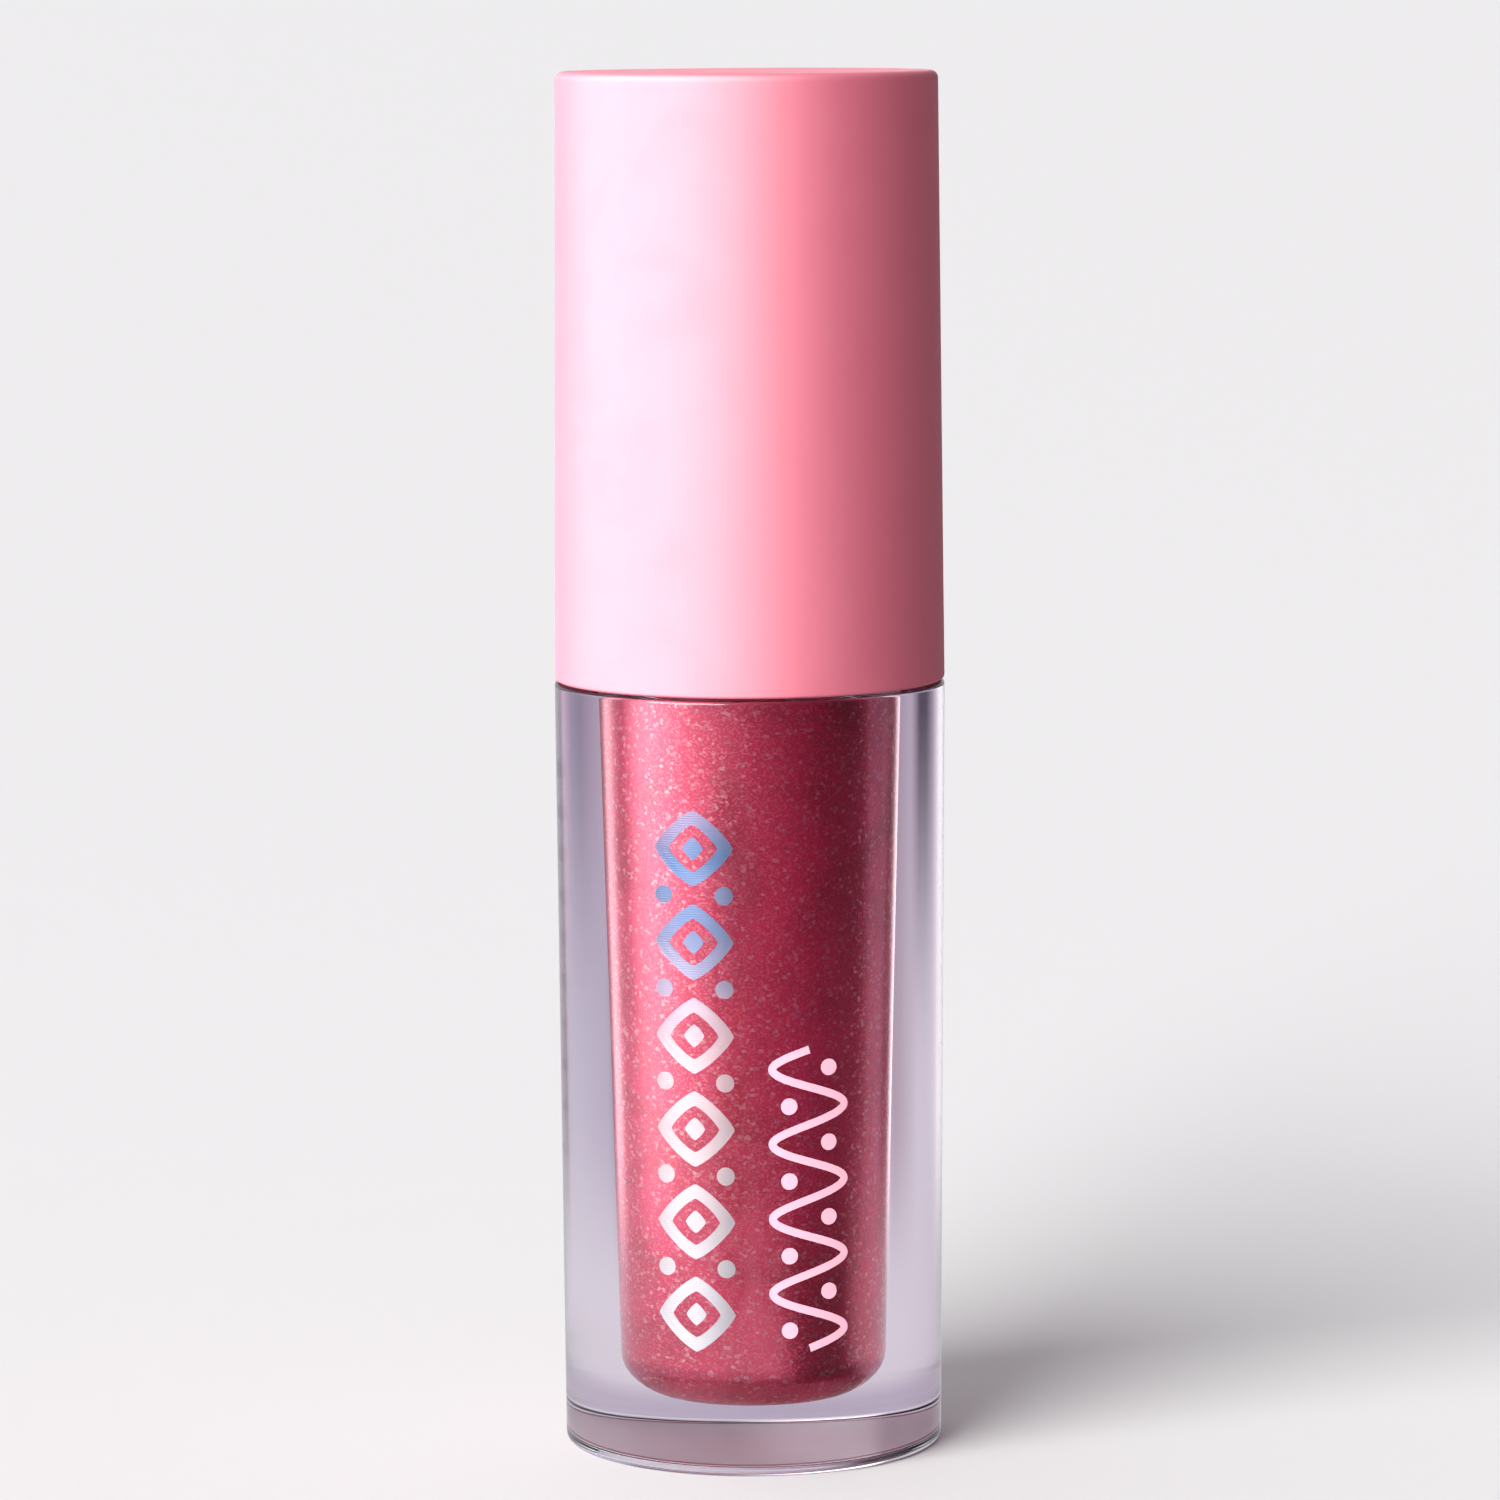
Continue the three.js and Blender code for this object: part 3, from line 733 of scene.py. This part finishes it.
def makeRod():
    # plain stem with the tip's socket in its foot, a collar let into the inner cap's roof, and barbs above
    socket = tip["plugRadius"] + rod["socketGap"]
    socketEnd = rodBottom + tip["plugLength"] + rod["socketSpare"]
    collarBottom = roofUnderside
    collarTop = collarBottom + rod["collar"]
    spacing = (rodTop - collarTop) / (rod["barbs"] + 1)
    corners = [
        (0, socketEnd, 0),
        (socket, socketEnd, 0.08),
        (socket, rodBottom, 0.08),
        (rodRadius, rodBottom, rod["endEdge"]),
        (rodRadius, collarBottom, 0.03),
        (collarRadius, collarBottom, 0.08),
        (collarRadius, collarTop, 0.08),
        (rodRadius, collarTop, 0.03),
    ]
    for index in range(1, rod["barbs"] + 1):
        level = collarTop + index * spacing
        corners.append((rodRadius, level, 0))
        corners.append((rodRadius + rod["barbHeight"], level + rod["barbRise"], 0))
        corners.append((rodRadius, level + spacing / 2, 0))
    corners += [(rodRadius, rodTop, 0.3), (0, rodTop, 0)]
    skin = turned(corners, columns=96)
    piece = putMesh("wandRod", skin, wettedPlastic)
    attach(piece, "wand_body")
    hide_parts("rod")


# Tip core; the "Start" and "Share" values are shares of its height

tip = {"plugRadius": 1.05, "plugLength": 3.4, "plugEdge": 0.1, "plugStep": 0.02, "seatGap": 0.05,
       "stemStep": 0.25, "slant": 0.62, "rowPower": 1.4, "firstRow": 0.004, "roundShare": 0.3,
       "stemStart": 0.96, "stemShare": 0.04, "slantStart": 0.05, "slantShare": 0.67}


def tipRings(offset, rows=60, columns=72):
    # Loops of the slanted tip. Up its height the back swells as a quarter ellipse and narrows to the stem;
    # the front is the back less a slanting cut that fades upwards. Each loop is x = half width * cos angle
    # and y = middle + half depth * sin angle, both halves grown by the offset.
    share = np.clip(np.linspace(0, 1, rows) ** tip["rowPower"], tip["firstRow"], 1)[:, None]
    length = coreTop - tip["plugLength"] - tip["seatGap"] - flockBottom
    roundEnd = np.sqrt(1 - (1 - np.minimum(share / tip["roundShare"], 1)) ** 2)
    stem = tip["plugRadius"] + tip["stemStep"]
    swell = smoothStep((share - tip["stemStart"]) / tip["stemShare"])
    back = (rodRadius - flock["depth"]) * roundEnd * (1 - swell) + stem * swell
    cut = 1 - smoothStep((share - tip["slantStart"]) / tip["slantShare"])
    front = back * (1 - tip["slant"] * cut)
    height = flockBottom + flock["depth"] + share * (length - flock["depth"])
    angle = around(columns)
    x = (back + offset) * np.cos(angle)
    y = ((back + front) / 2 + offset) * np.sin(angle) + (back - front) / 2
    return np.stack(np.broadcast_arrays(x, y, height), axis=-1)


def makeTip():
    rings = tipRings(0)
    angle = around(rings.shape[1])
    radius, edge = tip["plugRadius"], tip["plugEdge"]
    levels = np.array([rings[-1, 0, 2] + tip["plugStep"], coreTop - edge, coreTop])[:, None]
    radii = np.array([radius, radius, radius - edge])[:, None]
    plug = np.stack(np.broadcast_arrays(radii * np.cos(angle), radii * np.sin(angle), levels), axis=-1)
    core = putMesh("tipCore", closedSkin(np.concatenate([rings, plug])), wettedPlastic)
    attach(core, "cap_body")
    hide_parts("tip_core")


# Flocked coat

flock = {"depth": 0.24, "coreGap": 0.03, "rodGap": 0.12, "fibres": 5200, "fibreLength": 0.2,
         "fibreWidth": 0.022, "lengths": (0.55, 0.95), "matShare": 0.75, "lean": 0.35, "rooted": 0.03,
         "seed": 7, "colour": (0.62, 0.16, 0.25), "clumped": (0.36, 0.05, 0.10), "dry": (0.86, 0.36, 0.44),
         "clumpScale": 1400, "roughness": (0.25, 0.75), "sheen": 0.3}


def flockMaterial():
    # short nylon pile soaked in gloss: darker where it clumps, lighter dry ends
    material, tree, shader = newMaterial("flockPile", flock["colour"], {"Sheen Weight": flock["sheen"]})
    clump = noise(tree, (-700, 0), objectPlace(tree), flock["clumpScale"], detail=3)
    colour = blend(tree, (-400, 100), clump, solid(flock["clumped"]), solid(flock["dry"]))
    rough = remap(tree, (-400, -150), clump, end=flock["roughness"])
    setInputs(tree, shader, {"Base Color": colour, "Roughness": rough})
    return material


def makeFlock():
    # the pile's mat is a thin shell round the core, and the fibres are three-sided spikes that lean at random
    material = flockMaterial()
    mat = flock["depth"] - flock["fibreLength"] * flock["matShare"]
    keep = int((tipRings(0)[:, 0, 2] < rodBottom - flock["rodGap"]).sum())
    outside, inside = tipRings(mat)[:keep], tipRings(flock["coreGap"])[:keep]
    shell = closedSkin(np.concatenate([outside, inside[::-1]]))
    dice = np.random.default_rng(flock["seed"])
    spots = outside[1:-1].reshape(-1, 3)
    alongRows = np.gradient(outside, axis=0)[1:-1].reshape(-1, 3)
    alongColumns = (np.roll(outside, -1, axis=1) - np.roll(outside, 1, axis=1))[1:-1].reshape(-1, 3)
    outward = np.cross(alongColumns, alongRows)
    area = np.linalg.norm(outward, axis=1)
    outward /= area[:, None]
    count = flock["fibres"]
    chosen = dice.choice(len(spots), count, p=area / area.sum())
    jitter = dice.normal(size=(count, 3))
    foot = spots[chosen] + (alongColumns[chosen] * dice.uniform(-0.5, 0.5, (count, 1)) / 2
                            + alongRows[chosen] * dice.uniform(-0.5, 0.5, (count, 1)))
    lean = outward[chosen] + flock["lean"] * jitter
    lean /= np.linalg.norm(lean, axis=1)[:, None]
    reach = flock["fibreLength"] * dice.uniform(*flock["lengths"], (count, 1))
    side = np.cross(lean, jitter[:, ::-1] + 0.1)  # any direction across the fibre
    side /= np.linalg.norm(side, axis=1)[:, None]
    other = np.cross(lean, side)
    spin = around(3)
    ring = side[:, None] * np.cos(spin)[None, :, None] + other[:, None] * np.sin(spin)[None, :, None]
    base = (foot - outward[chosen] * flock["rooted"])[:, None] + flock["fibreWidth"] / 2 * ring
    top = (foot + lean * reach)[:, None]
    points = np.concatenate([base, top], axis=1).reshape(-1, 3)
    start = np.arange(count)[:, None, None] * 4
    spikeFaces = start + np.array([[0, 1, 3], [1, 2, 3], [2, 0, 3], [0, 2, 1]])[None]
    spikes = (points, np.zeros((0, 4), int), spikeFaces.reshape(-1, 3))
    piece = putMesh("flockedCoat", joinSkins([shell, spikes]), material)
    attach(piece, "cap_body")
    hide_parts("tip_flock")
    print("wand made, with", count, "fibres on its tip")


makeRod()
makeTip()
makeFlock()

# Base label

label = {"bond": 0.02, "edge": 0.03, "colour": (0.95, 0.90, 0.95), "roughness": 0.42,
         "ring": (0.42, 0.06, 0.14), "ringFrom": 0.93, "ringTo": 0.985,
         "grainScale": 4000, "grainDepth": 0.006}


def labelFilm():
    # printed film: a pale disc with a thin ring near its edge, drawn from the distance to the axis
    material, tree, shader = newMaterial("labelFilm", label["colour"], {"Roughness": label["roughness"]})
    place = objectPlace(tree)
    flat = calcVector(tree, "MULTIPLY", (-800, 100), place, (1, 1, 0))["Vector"]
    reach = calcVector(tree, "LENGTH", (-600, 100), flat)["Value"]
    share = calc(tree, "DIVIDE", (-500, -50), reach, labelRadius * mm)
    stops = [(0, label["colour"]), (label["ringFrom"], label["ring"]), (label["ringTo"], label["colour"])]
    colour = colourRamp(tree, (-400, 100), share, stops, "CONSTANT")
    setInputs(tree, shader, {"Base Color": colour})
    grain = noise(tree, (-600, -250), place, label["grainScale"])
    addBump(tree, shader, (-300, -250), grain, label["grainDepth"])
    return material


def makeLabel():
    top = bottle["recessDepth"] + label["bond"]  # a hair into the base, so that no air film shows above it
    edge = label["edge"]
    corners = [(0, labelBottom, 0), (labelRadius, labelBottom, edge), (labelRadius, top, edge), (0, top, 0)]
    piece = putMesh("baseLabel", turned(corners, columns=120), labelFilm())
    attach(piece, "bottle_body")
    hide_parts("base_label")


makeLabel()

# Printed motifs

printing = {"thickness": 0.02, "bite": 0.01, "spotRows": 9, "spotMiddle": 0.05}
foil = {"across": -2.92, "width": 4.07, "bottom": 6.0, "top": 34.5, "cells": 6, "cellGap": 0.9,
        "power": 1.25, "stroke": 0.78, "strokeUp": 0.95, "heartAcross": 0.26, "heartUp": 0.30, "dot": 0.46,
        "colour": (0.8, 0.8, 0.85), "roughness": 0.32, "driftScale": 220, "drift": 0.3, "driftShift": 0.15,
        "rulingScale": 2600, "rulingWobble": 2, "rulingDepth": 0.002,
        "tints": [(0.0, (0.76, 0.75, 0.80)), (0.35, (0.80, 0.66, 0.69)), (0.55, (0.84, 0.60, 0.64)),
                  (0.7, (0.44, 0.40, 0.56)), (0.85, (0.15, 0.25, 0.46)), (1.0, (0.36, 0.28, 0.42))]}
ink = {"across": 2.92, "width": 4.2, "bottom": 6.6, "top": 21.9, "stroke": 0.4, "waves": 4, "points": 260,
       "dot": 0.42, "dotShare": 0.55, "colour": (0.96, 0.50, 0.62), "roughness": 0.4,
       "grainScale": 6000.0, "grainDepth": 0.002}


def ontoWall(across, height, lift):
    # a flat drawing wrapped on the tapering wall: the distance across becomes an angle from the front
    angle = across / wallRadiusAt((foil["bottom"] + foil["top"]) / 2)
    radius = wallRadiusAt(height) + lift
    return np.stack([radius * np.sin(angle), -radius * np.cos(angle), height + 0 * angle], axis=-1)


def raisedRing(centre, halfAcross, halfUp, power, stroke):
    # a band between an outline and the same outline moved in by the stroke
    low, high = -printing["bite"], printing["thickness"]
    rows = []
    for inset, lift in ((0, low), (0, high), (0.5, high), (1, high), (1, low), (0.5, low)):
        x, y = superellipse(halfAcross - inset * stroke, halfUp - inset * stroke * foil["strokeUp"], power)
        rows.append(ontoWall(centre[0] + x, centre[1] + y, lift))
    return closedSkin(np.stack(rows), capped=False)


def raisedSpot(centre, halfAcross, halfUp, power):
    # a filled outline: loops that grow from the middle underneath, and shrink to it again on top
    growing = np.linspace(printing["spotMiddle"], 1, printing["spotRows"])
    scales = np.concatenate([growing, growing[::-1]])
    lifts = np.repeat([-printing["bite"], printing["thickness"]], len(growing))
    rows = []
    for scale, lift in zip(scales, lifts):
        x, y = superellipse(halfAcross * scale, halfUp * scale, power)
        rows.append(ontoWall(centre[0] + x, centre[1] + y, lift))
    return closedSkin(np.stack(rows))


def raisedLine(across, height, stroke):
    # a ribbon: the stroke's outline carried along the path, square to it
    run = np.stack([np.gradient(across), np.gradient(height)], axis=-1)
    run /= np.linalg.norm(run, axis=1)[:, None]
    low, high = -printing["bite"], printing["thickness"]
    loops = []
    for shift, lift in ((0.5, low), (0.5, high), (0, high), (-0.5, high), (-0.5, low), (0, low)):
        sideways = np.stack([-run[:, 1], run[:, 0]], axis=-1) * shift * stroke
        loops.append(ontoWall(across + sideways[:, 0], height + sideways[:, 1], lift))
    return closedSkin(np.stack(loops, axis=1))


def foilMaterial():
    # Mirror foil whose tint drifts from silver at the foot through pink to blue near the top, with a fine
    # ruled grain. The tint's place is height + noise * drift - shift.
    material, tree, shader = newMaterial("holographicFoil", foil["colour"], {
        "Metallic": 1.0, "Roughness": foil["roughness"]})
    place = objectPlace(tree)
    level = addNode(tree, "ShaderNodeSeparateXYZ", (-1000, 200), {"Vector": place}).outputs["Z"]
    height = remap(tree, (-800, 200), level, start=(foil["bottom"] * mm, foil["top"] * mm))
    shifted = calc(tree, "SUBTRACT", (-700, 300), height, foil["driftShift"])
    drift = noise(tree, (-1000, 0), place, foil["driftScale"])
    wobble = calc(tree, "MULTIPLY_ADD", (-600, 100), drift, foil["drift"], shifted)
    setInputs(tree, shader, {"Base Color": colourRamp(tree, (-400, 100), wobble, foil["tints"])})
    inputs = {"Vector": place, "Scale": foil["rulingScale"], "Distortion": foil["rulingWobble"]}
    ruled = addNode(tree, "ShaderNodeTexWave", (-600, -250), inputs, bands_direction="Z")
    addBump(tree, shader, (-300, -250), ruled.outputs["Fac"], foil["rulingDepth"])
    return material


def makeFoil():
    # the bold line is a chain of lozenges, each with a lozenge inside and dots between
    cell = (foil["top"] - foil["bottom"]) / foil["cells"]
    halfUp, halfAcross = (cell - foil["cellGap"]) / 2, foil["width"] / 2
    heart = (halfAcross * foil["heartAcross"], halfUp * foil["heartUp"])
    shapes = []
    for index in range(foil["cells"]):
        middle = (foil["across"], foil["bottom"] + (index + 0.5) * cell)
        shapes.append(raisedRing(middle, halfAcross, halfUp, foil["power"], foil["stroke"]))
        shapes.append(raisedSpot(middle, *heart, foil["power"]))
        if index:
            for side in (-1, 1):
                spot = (middle[0] + side * (halfAcross - foil["dot"]), middle[1] - cell / 2)
                shapes.append(raisedSpot(spot, foil["dot"], foil["dot"], 2))
    piece = putMesh("foilMotif", joinSkins(shapes), foilMaterial(), smooth=False)
    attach(piece, "bottle_body")


def makeInk():
    # the fine line is a wave with a dot in each hollow
    tall = ink["top"] - ink["bottom"]
    share = np.linspace(0, 1, ink["points"])
    swing = (ink["width"] - ink["stroke"]) / 2
    wave = ink["across"] + swing * np.sin(share * ink["waves"] * 2 * math.pi)
    lines = [raisedLine(wave, ink["bottom"] + share * tall, ink["stroke"])]
    hollows = 2 * ink["waves"]
    for index in range(hollows):
        side = -1 if index % 2 == 0 else 1
        level = ink["bottom"] + (index + 0.5) / hollows * tall
        spot = (ink["across"] + side * swing * ink["dotShare"], level)
        lines.append(raisedSpot(spot, ink["dot"], ink["dot"], 2))
    material = mouldedMaterial("paleInk", ink["colour"], ink["roughness"], grainScale=ink["grainScale"],
                               grainDepth=ink["grainDepth"])
    piece = putMesh("inkMotif", joinSkins(lines), material, smooth=False)
    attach(piece, "bottle_body")
    print("prints made")


makeFoil()
makeInk()

# Studio: floor and room

room = {"floorHalf": 30.0,  # in metres
        "floorColour": (0.88, 0.89, 0.89), "floorRoughness": 0.7, "floorShine": 0.2,
        "left": (0.86, 0.85, 0.90), "right": (0.13, 0.095, 0.11), "fallRange": (-0.9, 0.6),
        "behind": 0.8, "strength": 0.7, "backdrop": (1.25, 1.24, 1.25)}


def makeFloor():
    corners = np.array([[-1, -1, 0], [1, -1, 0], [1, 1, 0], [-1, 1, 0]]) * room["floorHalf"]
    mesh = bpy.data.meshes.new("floor")
    mesh.from_pydata(corners.tolist(), [], [(0, 1, 2, 3)])
    material = newMaterial("paleFloor", room["floorColour"], {
        "Roughness": room["floorRoughness"], "Specular IOR Level": room["floorShine"]})[0]
    floor = putObject("floor", mesh, material)
    floor.visible_glossy = False


def makeWorld():
    # soft room light that falls off from left to right, and is bright behind
    world = bpy.data.worlds.new("studioRoom")
    bpy.context.scene.world = world
    world.use_nodes = True
    tree = world.node_tree
    place = addNode(tree, "ShaderNodeTexCoord", (-1080, 0)).outputs["Generated"]
    split = addNode(tree, "ShaderNodeSeparateXYZ", (-900, 0), {"Vector": place}).outputs
    behind = remap(tree, (-720, -150), split["Y"], end=(0, room["behind"]))
    aside = calc(tree, "SUBTRACT", (-560, 0), split["X"], behind)
    fall = remap(tree, (-400, 0), aside, start=room["fallRange"], interpolation_type="SMOOTHSTEP")
    light = blend(tree, (-300, 0), fall, solid(room["left"]), solid(room["right"]))
    # seen directly, the room is as pale as the floor
    sight = addNode(tree, "ShaderNodeLightPath", (-300, 300)).outputs["Is Camera Ray"]
    shown = blend(tree, (-120, 100), sight, light, solid(room["backdrop"]))
    setInputs(tree, tree.nodes["Background"], {"Color": shown, "Strength": room["strength"]})


makeFloor()
makeWorld()

# Studio: lamps

keyLamp = {"colour": (1.0, 0.98, 0.965), "strength": 5.1, "angle": 48, "from": (-0.61, -0.73, 0.42)}
sheenLamp = {"colour": (0.72, 1.16, 1.02), "strength": 46.0, "angle": 125, "from": (-0.82, -0.54, 0.25)}


def makeSun(name, values, onlyPiece=None):
    light = bpy.data.lights.new(name, "SUN")
    light.energy = values["strength"]
    light.angle = math.radians(values["angle"])
    light.color = values["colour"]
    lamp = bpy.data.objects.new(name, light)
    bpy.context.scene.collection.objects.link(lamp)
    lamp.rotation_euler = Vector(values["from"]).to_track_quat("Z", "Y").to_euler()
    lamp.visible_transmission = False  # what stands behind the clear wall is lit by the screen and the room
    if onlyPiece:  # a sheen light: it shows as a soft gloss on one piece and lights nothing else
        lit = bpy.data.collections.new(name + "Pieces")
        lit.objects.link(bpy.data.objects[onlyPiece])
        lamp.light_linking.receiver_collection = lit
        lamp.visible_diffuse = False


makeSun("keyLight", keyLamp)
makeSun("sheenLight", sheenLamp, onlyPiece="satinCap")

# Studio: the screen about the tube. Lengths in millimetres, bearings in degrees from the back.

surround = {"radius": 32.0, "top": 95.0, "innerRadius": 1, "floorGap": 0.06, "wallFoot": 0.1,
            "columns": 240, "floorRows": 16, "wallRows": 40, "riseFrom": 12, "riseEnd": 2,
            "footTop": 13, "footGlow": (0.98, 0.94, 1.00),
            # the dim band and the base colour below paint shade on one side of the floor ring and a contact
            # shadow round the base
            "dimBearing": 110, "dimHalf": 50, "dimFade": 25, "paintedShadeDepth": 0.9,
            "paintedContactShadow": (0.70, 0.66, 0.74), "shadeFrom": 13, "shadeFade": 6}
# the screen's colours, as (bearing, colour low down, colour level with the cap's rim)
screenBands = [
    (-180, (0.5, 0.16, 0.3), (0.42, 0.16, 0.28)),
    (-165, (0.68, 0.42, 0.52), (0.62, 0.42, 0.5)),
    (-145, (0.98, 0.84, 0.92), (0.95, 0.84, 0.9)),
    (-120, (1.4, 1.42, 1.42), (1.5, 1.55, 1.52)),
    (-100, (2.3, 2.6, 2.5), (2.7, 3.1, 3.0)),
    (-82, (2.9, 3.4, 3.3), (3.6, 4.2, 4.0)),
    (-66, (2.5, 2.7, 2.7), (2.9, 3.1, 3.1)),
    (-57, (1.9, 1.8, 1.88), (2.0, 1.88, 1.98)),
    (-53, (1.3, 1.25, 1.3), (1.2, 1.12, 1.24)),
    (-48, (1.05, 1.02, 1.1), (0.46, 0.4, 0.52)),
    (-42, (0.98, 0.94, 1.04), (0.03, 0.02, 0.05)),
    (-37, (0.96, 0.91, 1.02), (0.04, 0.03, 0.07)),
    (-32, (0.8, 0.72, 0.8), (0.66, 0.58, 0.7)),
    (-25, (0.6, 0.48, 0.56), (0.5, 0.4, 0.5)),
    (-20, (3.1, 3.0, 3.0), (2.4, 2.3, 2.3)),
    (-6, (3.1, 3.0, 3.0), (2.4, 2.3, 2.3)),
    (3, (0.2, 0.15, 0.18), (0.14, 0.1, 0.13)),
    (20, (0.14, 0.1, 0.13), (0.1, 0.07, 0.09)),
    (26, (0.66, 0.62, 0.75), (0.62, 0.5, 0.62)),
    (37, (0.74, 0.71, 0.83), (0.3, 0.24, 0.36)),
    (44, (0.76, 0.74, 0.87), (0.34, 0.3, 0.43)),
    (53, (0.76, 0.74, 0.81), (0.84, 0.56, 0.8)),
    (58, (0.24, 0.2, 0.25), (0.2, 0.13, 0.19)),
    (70, (0.2, 0.12, 0.17), (0.09, 0.05, 0.07)),
    (110, (0.32, 0.1, 0.2), (0.07, 0.02, 0.04)),
    (140, (0.5, 0.14, 0.3), (0.24, 0.07, 0.14)),
    (180, (0.5, 0.16, 0.3), (0.42, 0.16, 0.28))]


def screenGlow(bearings, reach, levels):
    # The bands by bearing, blended from low to high, turn into the floor's own brightness at the foot, with
    # painted shade darkening the foot on one side. The ring of floor round the base gets a painted mauve
    # contact shadow.
    knots = [band[0] for band in screenBands]
    low, high = (
        np.stack([np.interp(bearings, knots, [band[side][channel] for band in screenBands])
                  for channel in range(3)], axis=-1)
        for side in (1, 2))
    riseTo = shoulder - surround["riseEnd"]
    rise = smoothStep((levels - surround["riseFrom"]) / (riseTo - surround["riseFrom"]))[:, None, None]
    # painted shade: the foot is darkened on the right side, away from the lamps
    dim = smoothStep((surround["dimHalf"] - np.abs(bearings - surround["dimBearing"])) / surround["dimFade"])
    footGlow = (1 - surround["paintedShadeDepth"] * dim)[:, None] * np.array(surround["footGlow"])
    foot = smoothStep((surround["footTop"] - levels) / surround["footTop"])[:, None, None]
    glow = (low * (1 - rise) + high * rise) * (1 - foot) + footGlow[None] * foot
    # painted contact shadow: the floor ring close round the base is darkened towards mauve
    shade = smoothStep((reach - surround["shadeFrom"]) / surround["shadeFade"])[:, None, None]
    return glow * (shade + (1 - shade) * np.array(surround["paintedContactShadow"]))


def makeScreen():
    # a round screen close about the tube, which only the clear wall and what it holds pick up: x = reach sin
    # bearing, y = reach cos bearing, along a path out over the floor and up
    radius, floorRows, wallRows = surround["radius"], surround["floorRows"], surround["wallRows"]
    bearings = np.linspace(screenBands[0][0], screenBands[-1][0], surround["columns"])
    overFloor = np.linspace(surround["innerRadius"], radius, floorRows)
    reach = np.concatenate([overFloor, np.full(wallRows, radius)])
    wallLevels = np.linspace(surround["wallFoot"], surround["top"], wallRows)
    levels = np.concatenate([np.full(floorRows, surround["floorGap"]), wallLevels])
    glow = screenGlow(bearings, reach, levels)
    turn, level = np.meshgrid(np.radians(bearings), levels)
    points = np.stack([np.sin(turn) * reach[:, None], np.cos(turn) * reach[:, None], level], axis=-1)
    index = np.arange(len(levels) * len(bearings)).reshape(turn.shape)
    faces = np.stack([index[:-1, :-1], index[:-1, 1:], index[1:, 1:], index[1:, :-1]], axis=-1)
    mesh = bpy.data.meshes.new("screen")
    mesh.from_pydata((points.reshape(-1, 3) * mm).tolist(), [], faces.reshape(-1, 4).tolist())
    layer = mesh.color_attributes.new("glow", "FLOAT_COLOR", "POINT")
    layer.data.foreach_set("color", np.dstack([glow, np.ones(turn.shape)]).astype(np.float32).ravel())
    material, tree, shader = newMaterial("screenGlow", (0, 0, 0), {
        "Roughness": 1.0, "Emission Strength": 1.0, "Specular IOR Level": 0.0})
    bands = addNode(tree, "ShaderNodeVertexColor", (-300, 0), layer_name="glow")
    setInputs(tree, shader, {"Emission Color": bands.outputs["Color"]})
    screen = putObject("screen", mesh, material)
    for kind in ("camera", "diffuse", "glossy", "shadow"):
        setattr(screen, "visible_" + kind, False)


makeScreen()

# Camera

view = {"lens": 150.1, "sensor": 36, "clip": (0.005, 100),  # the clip is in metres
        "distance": 319.0, "rise": 4.9, "pitch": 7.08, "roll": -0.33}


def makeCamera():
    data = bpy.data.cameras.new("camera")
    data.lens = view["lens"]
    data.sensor_width = view["sensor"]
    data.clip_start, data.clip_end = view["clip"]
    camera = bpy.data.objects.new("camera", data)
    bpy.context.scene.collection.objects.link(camera)
    eye = Matrix.Translation(Vector((0, -view["distance"], capTop + view["rise"])) * mm)
    tilt = Matrix.Rotation(math.radians(90 - view["pitch"]), 4, "X")
    camera.matrix_world = eye @ tilt @ Matrix.Rotation(math.radians(view["roll"]), 4, "Z")
    bpy.context.scene.camera = camera


makeCamera()
bpy.context.scene.view_settings.view_transform = "Standard"
print("studio ready")
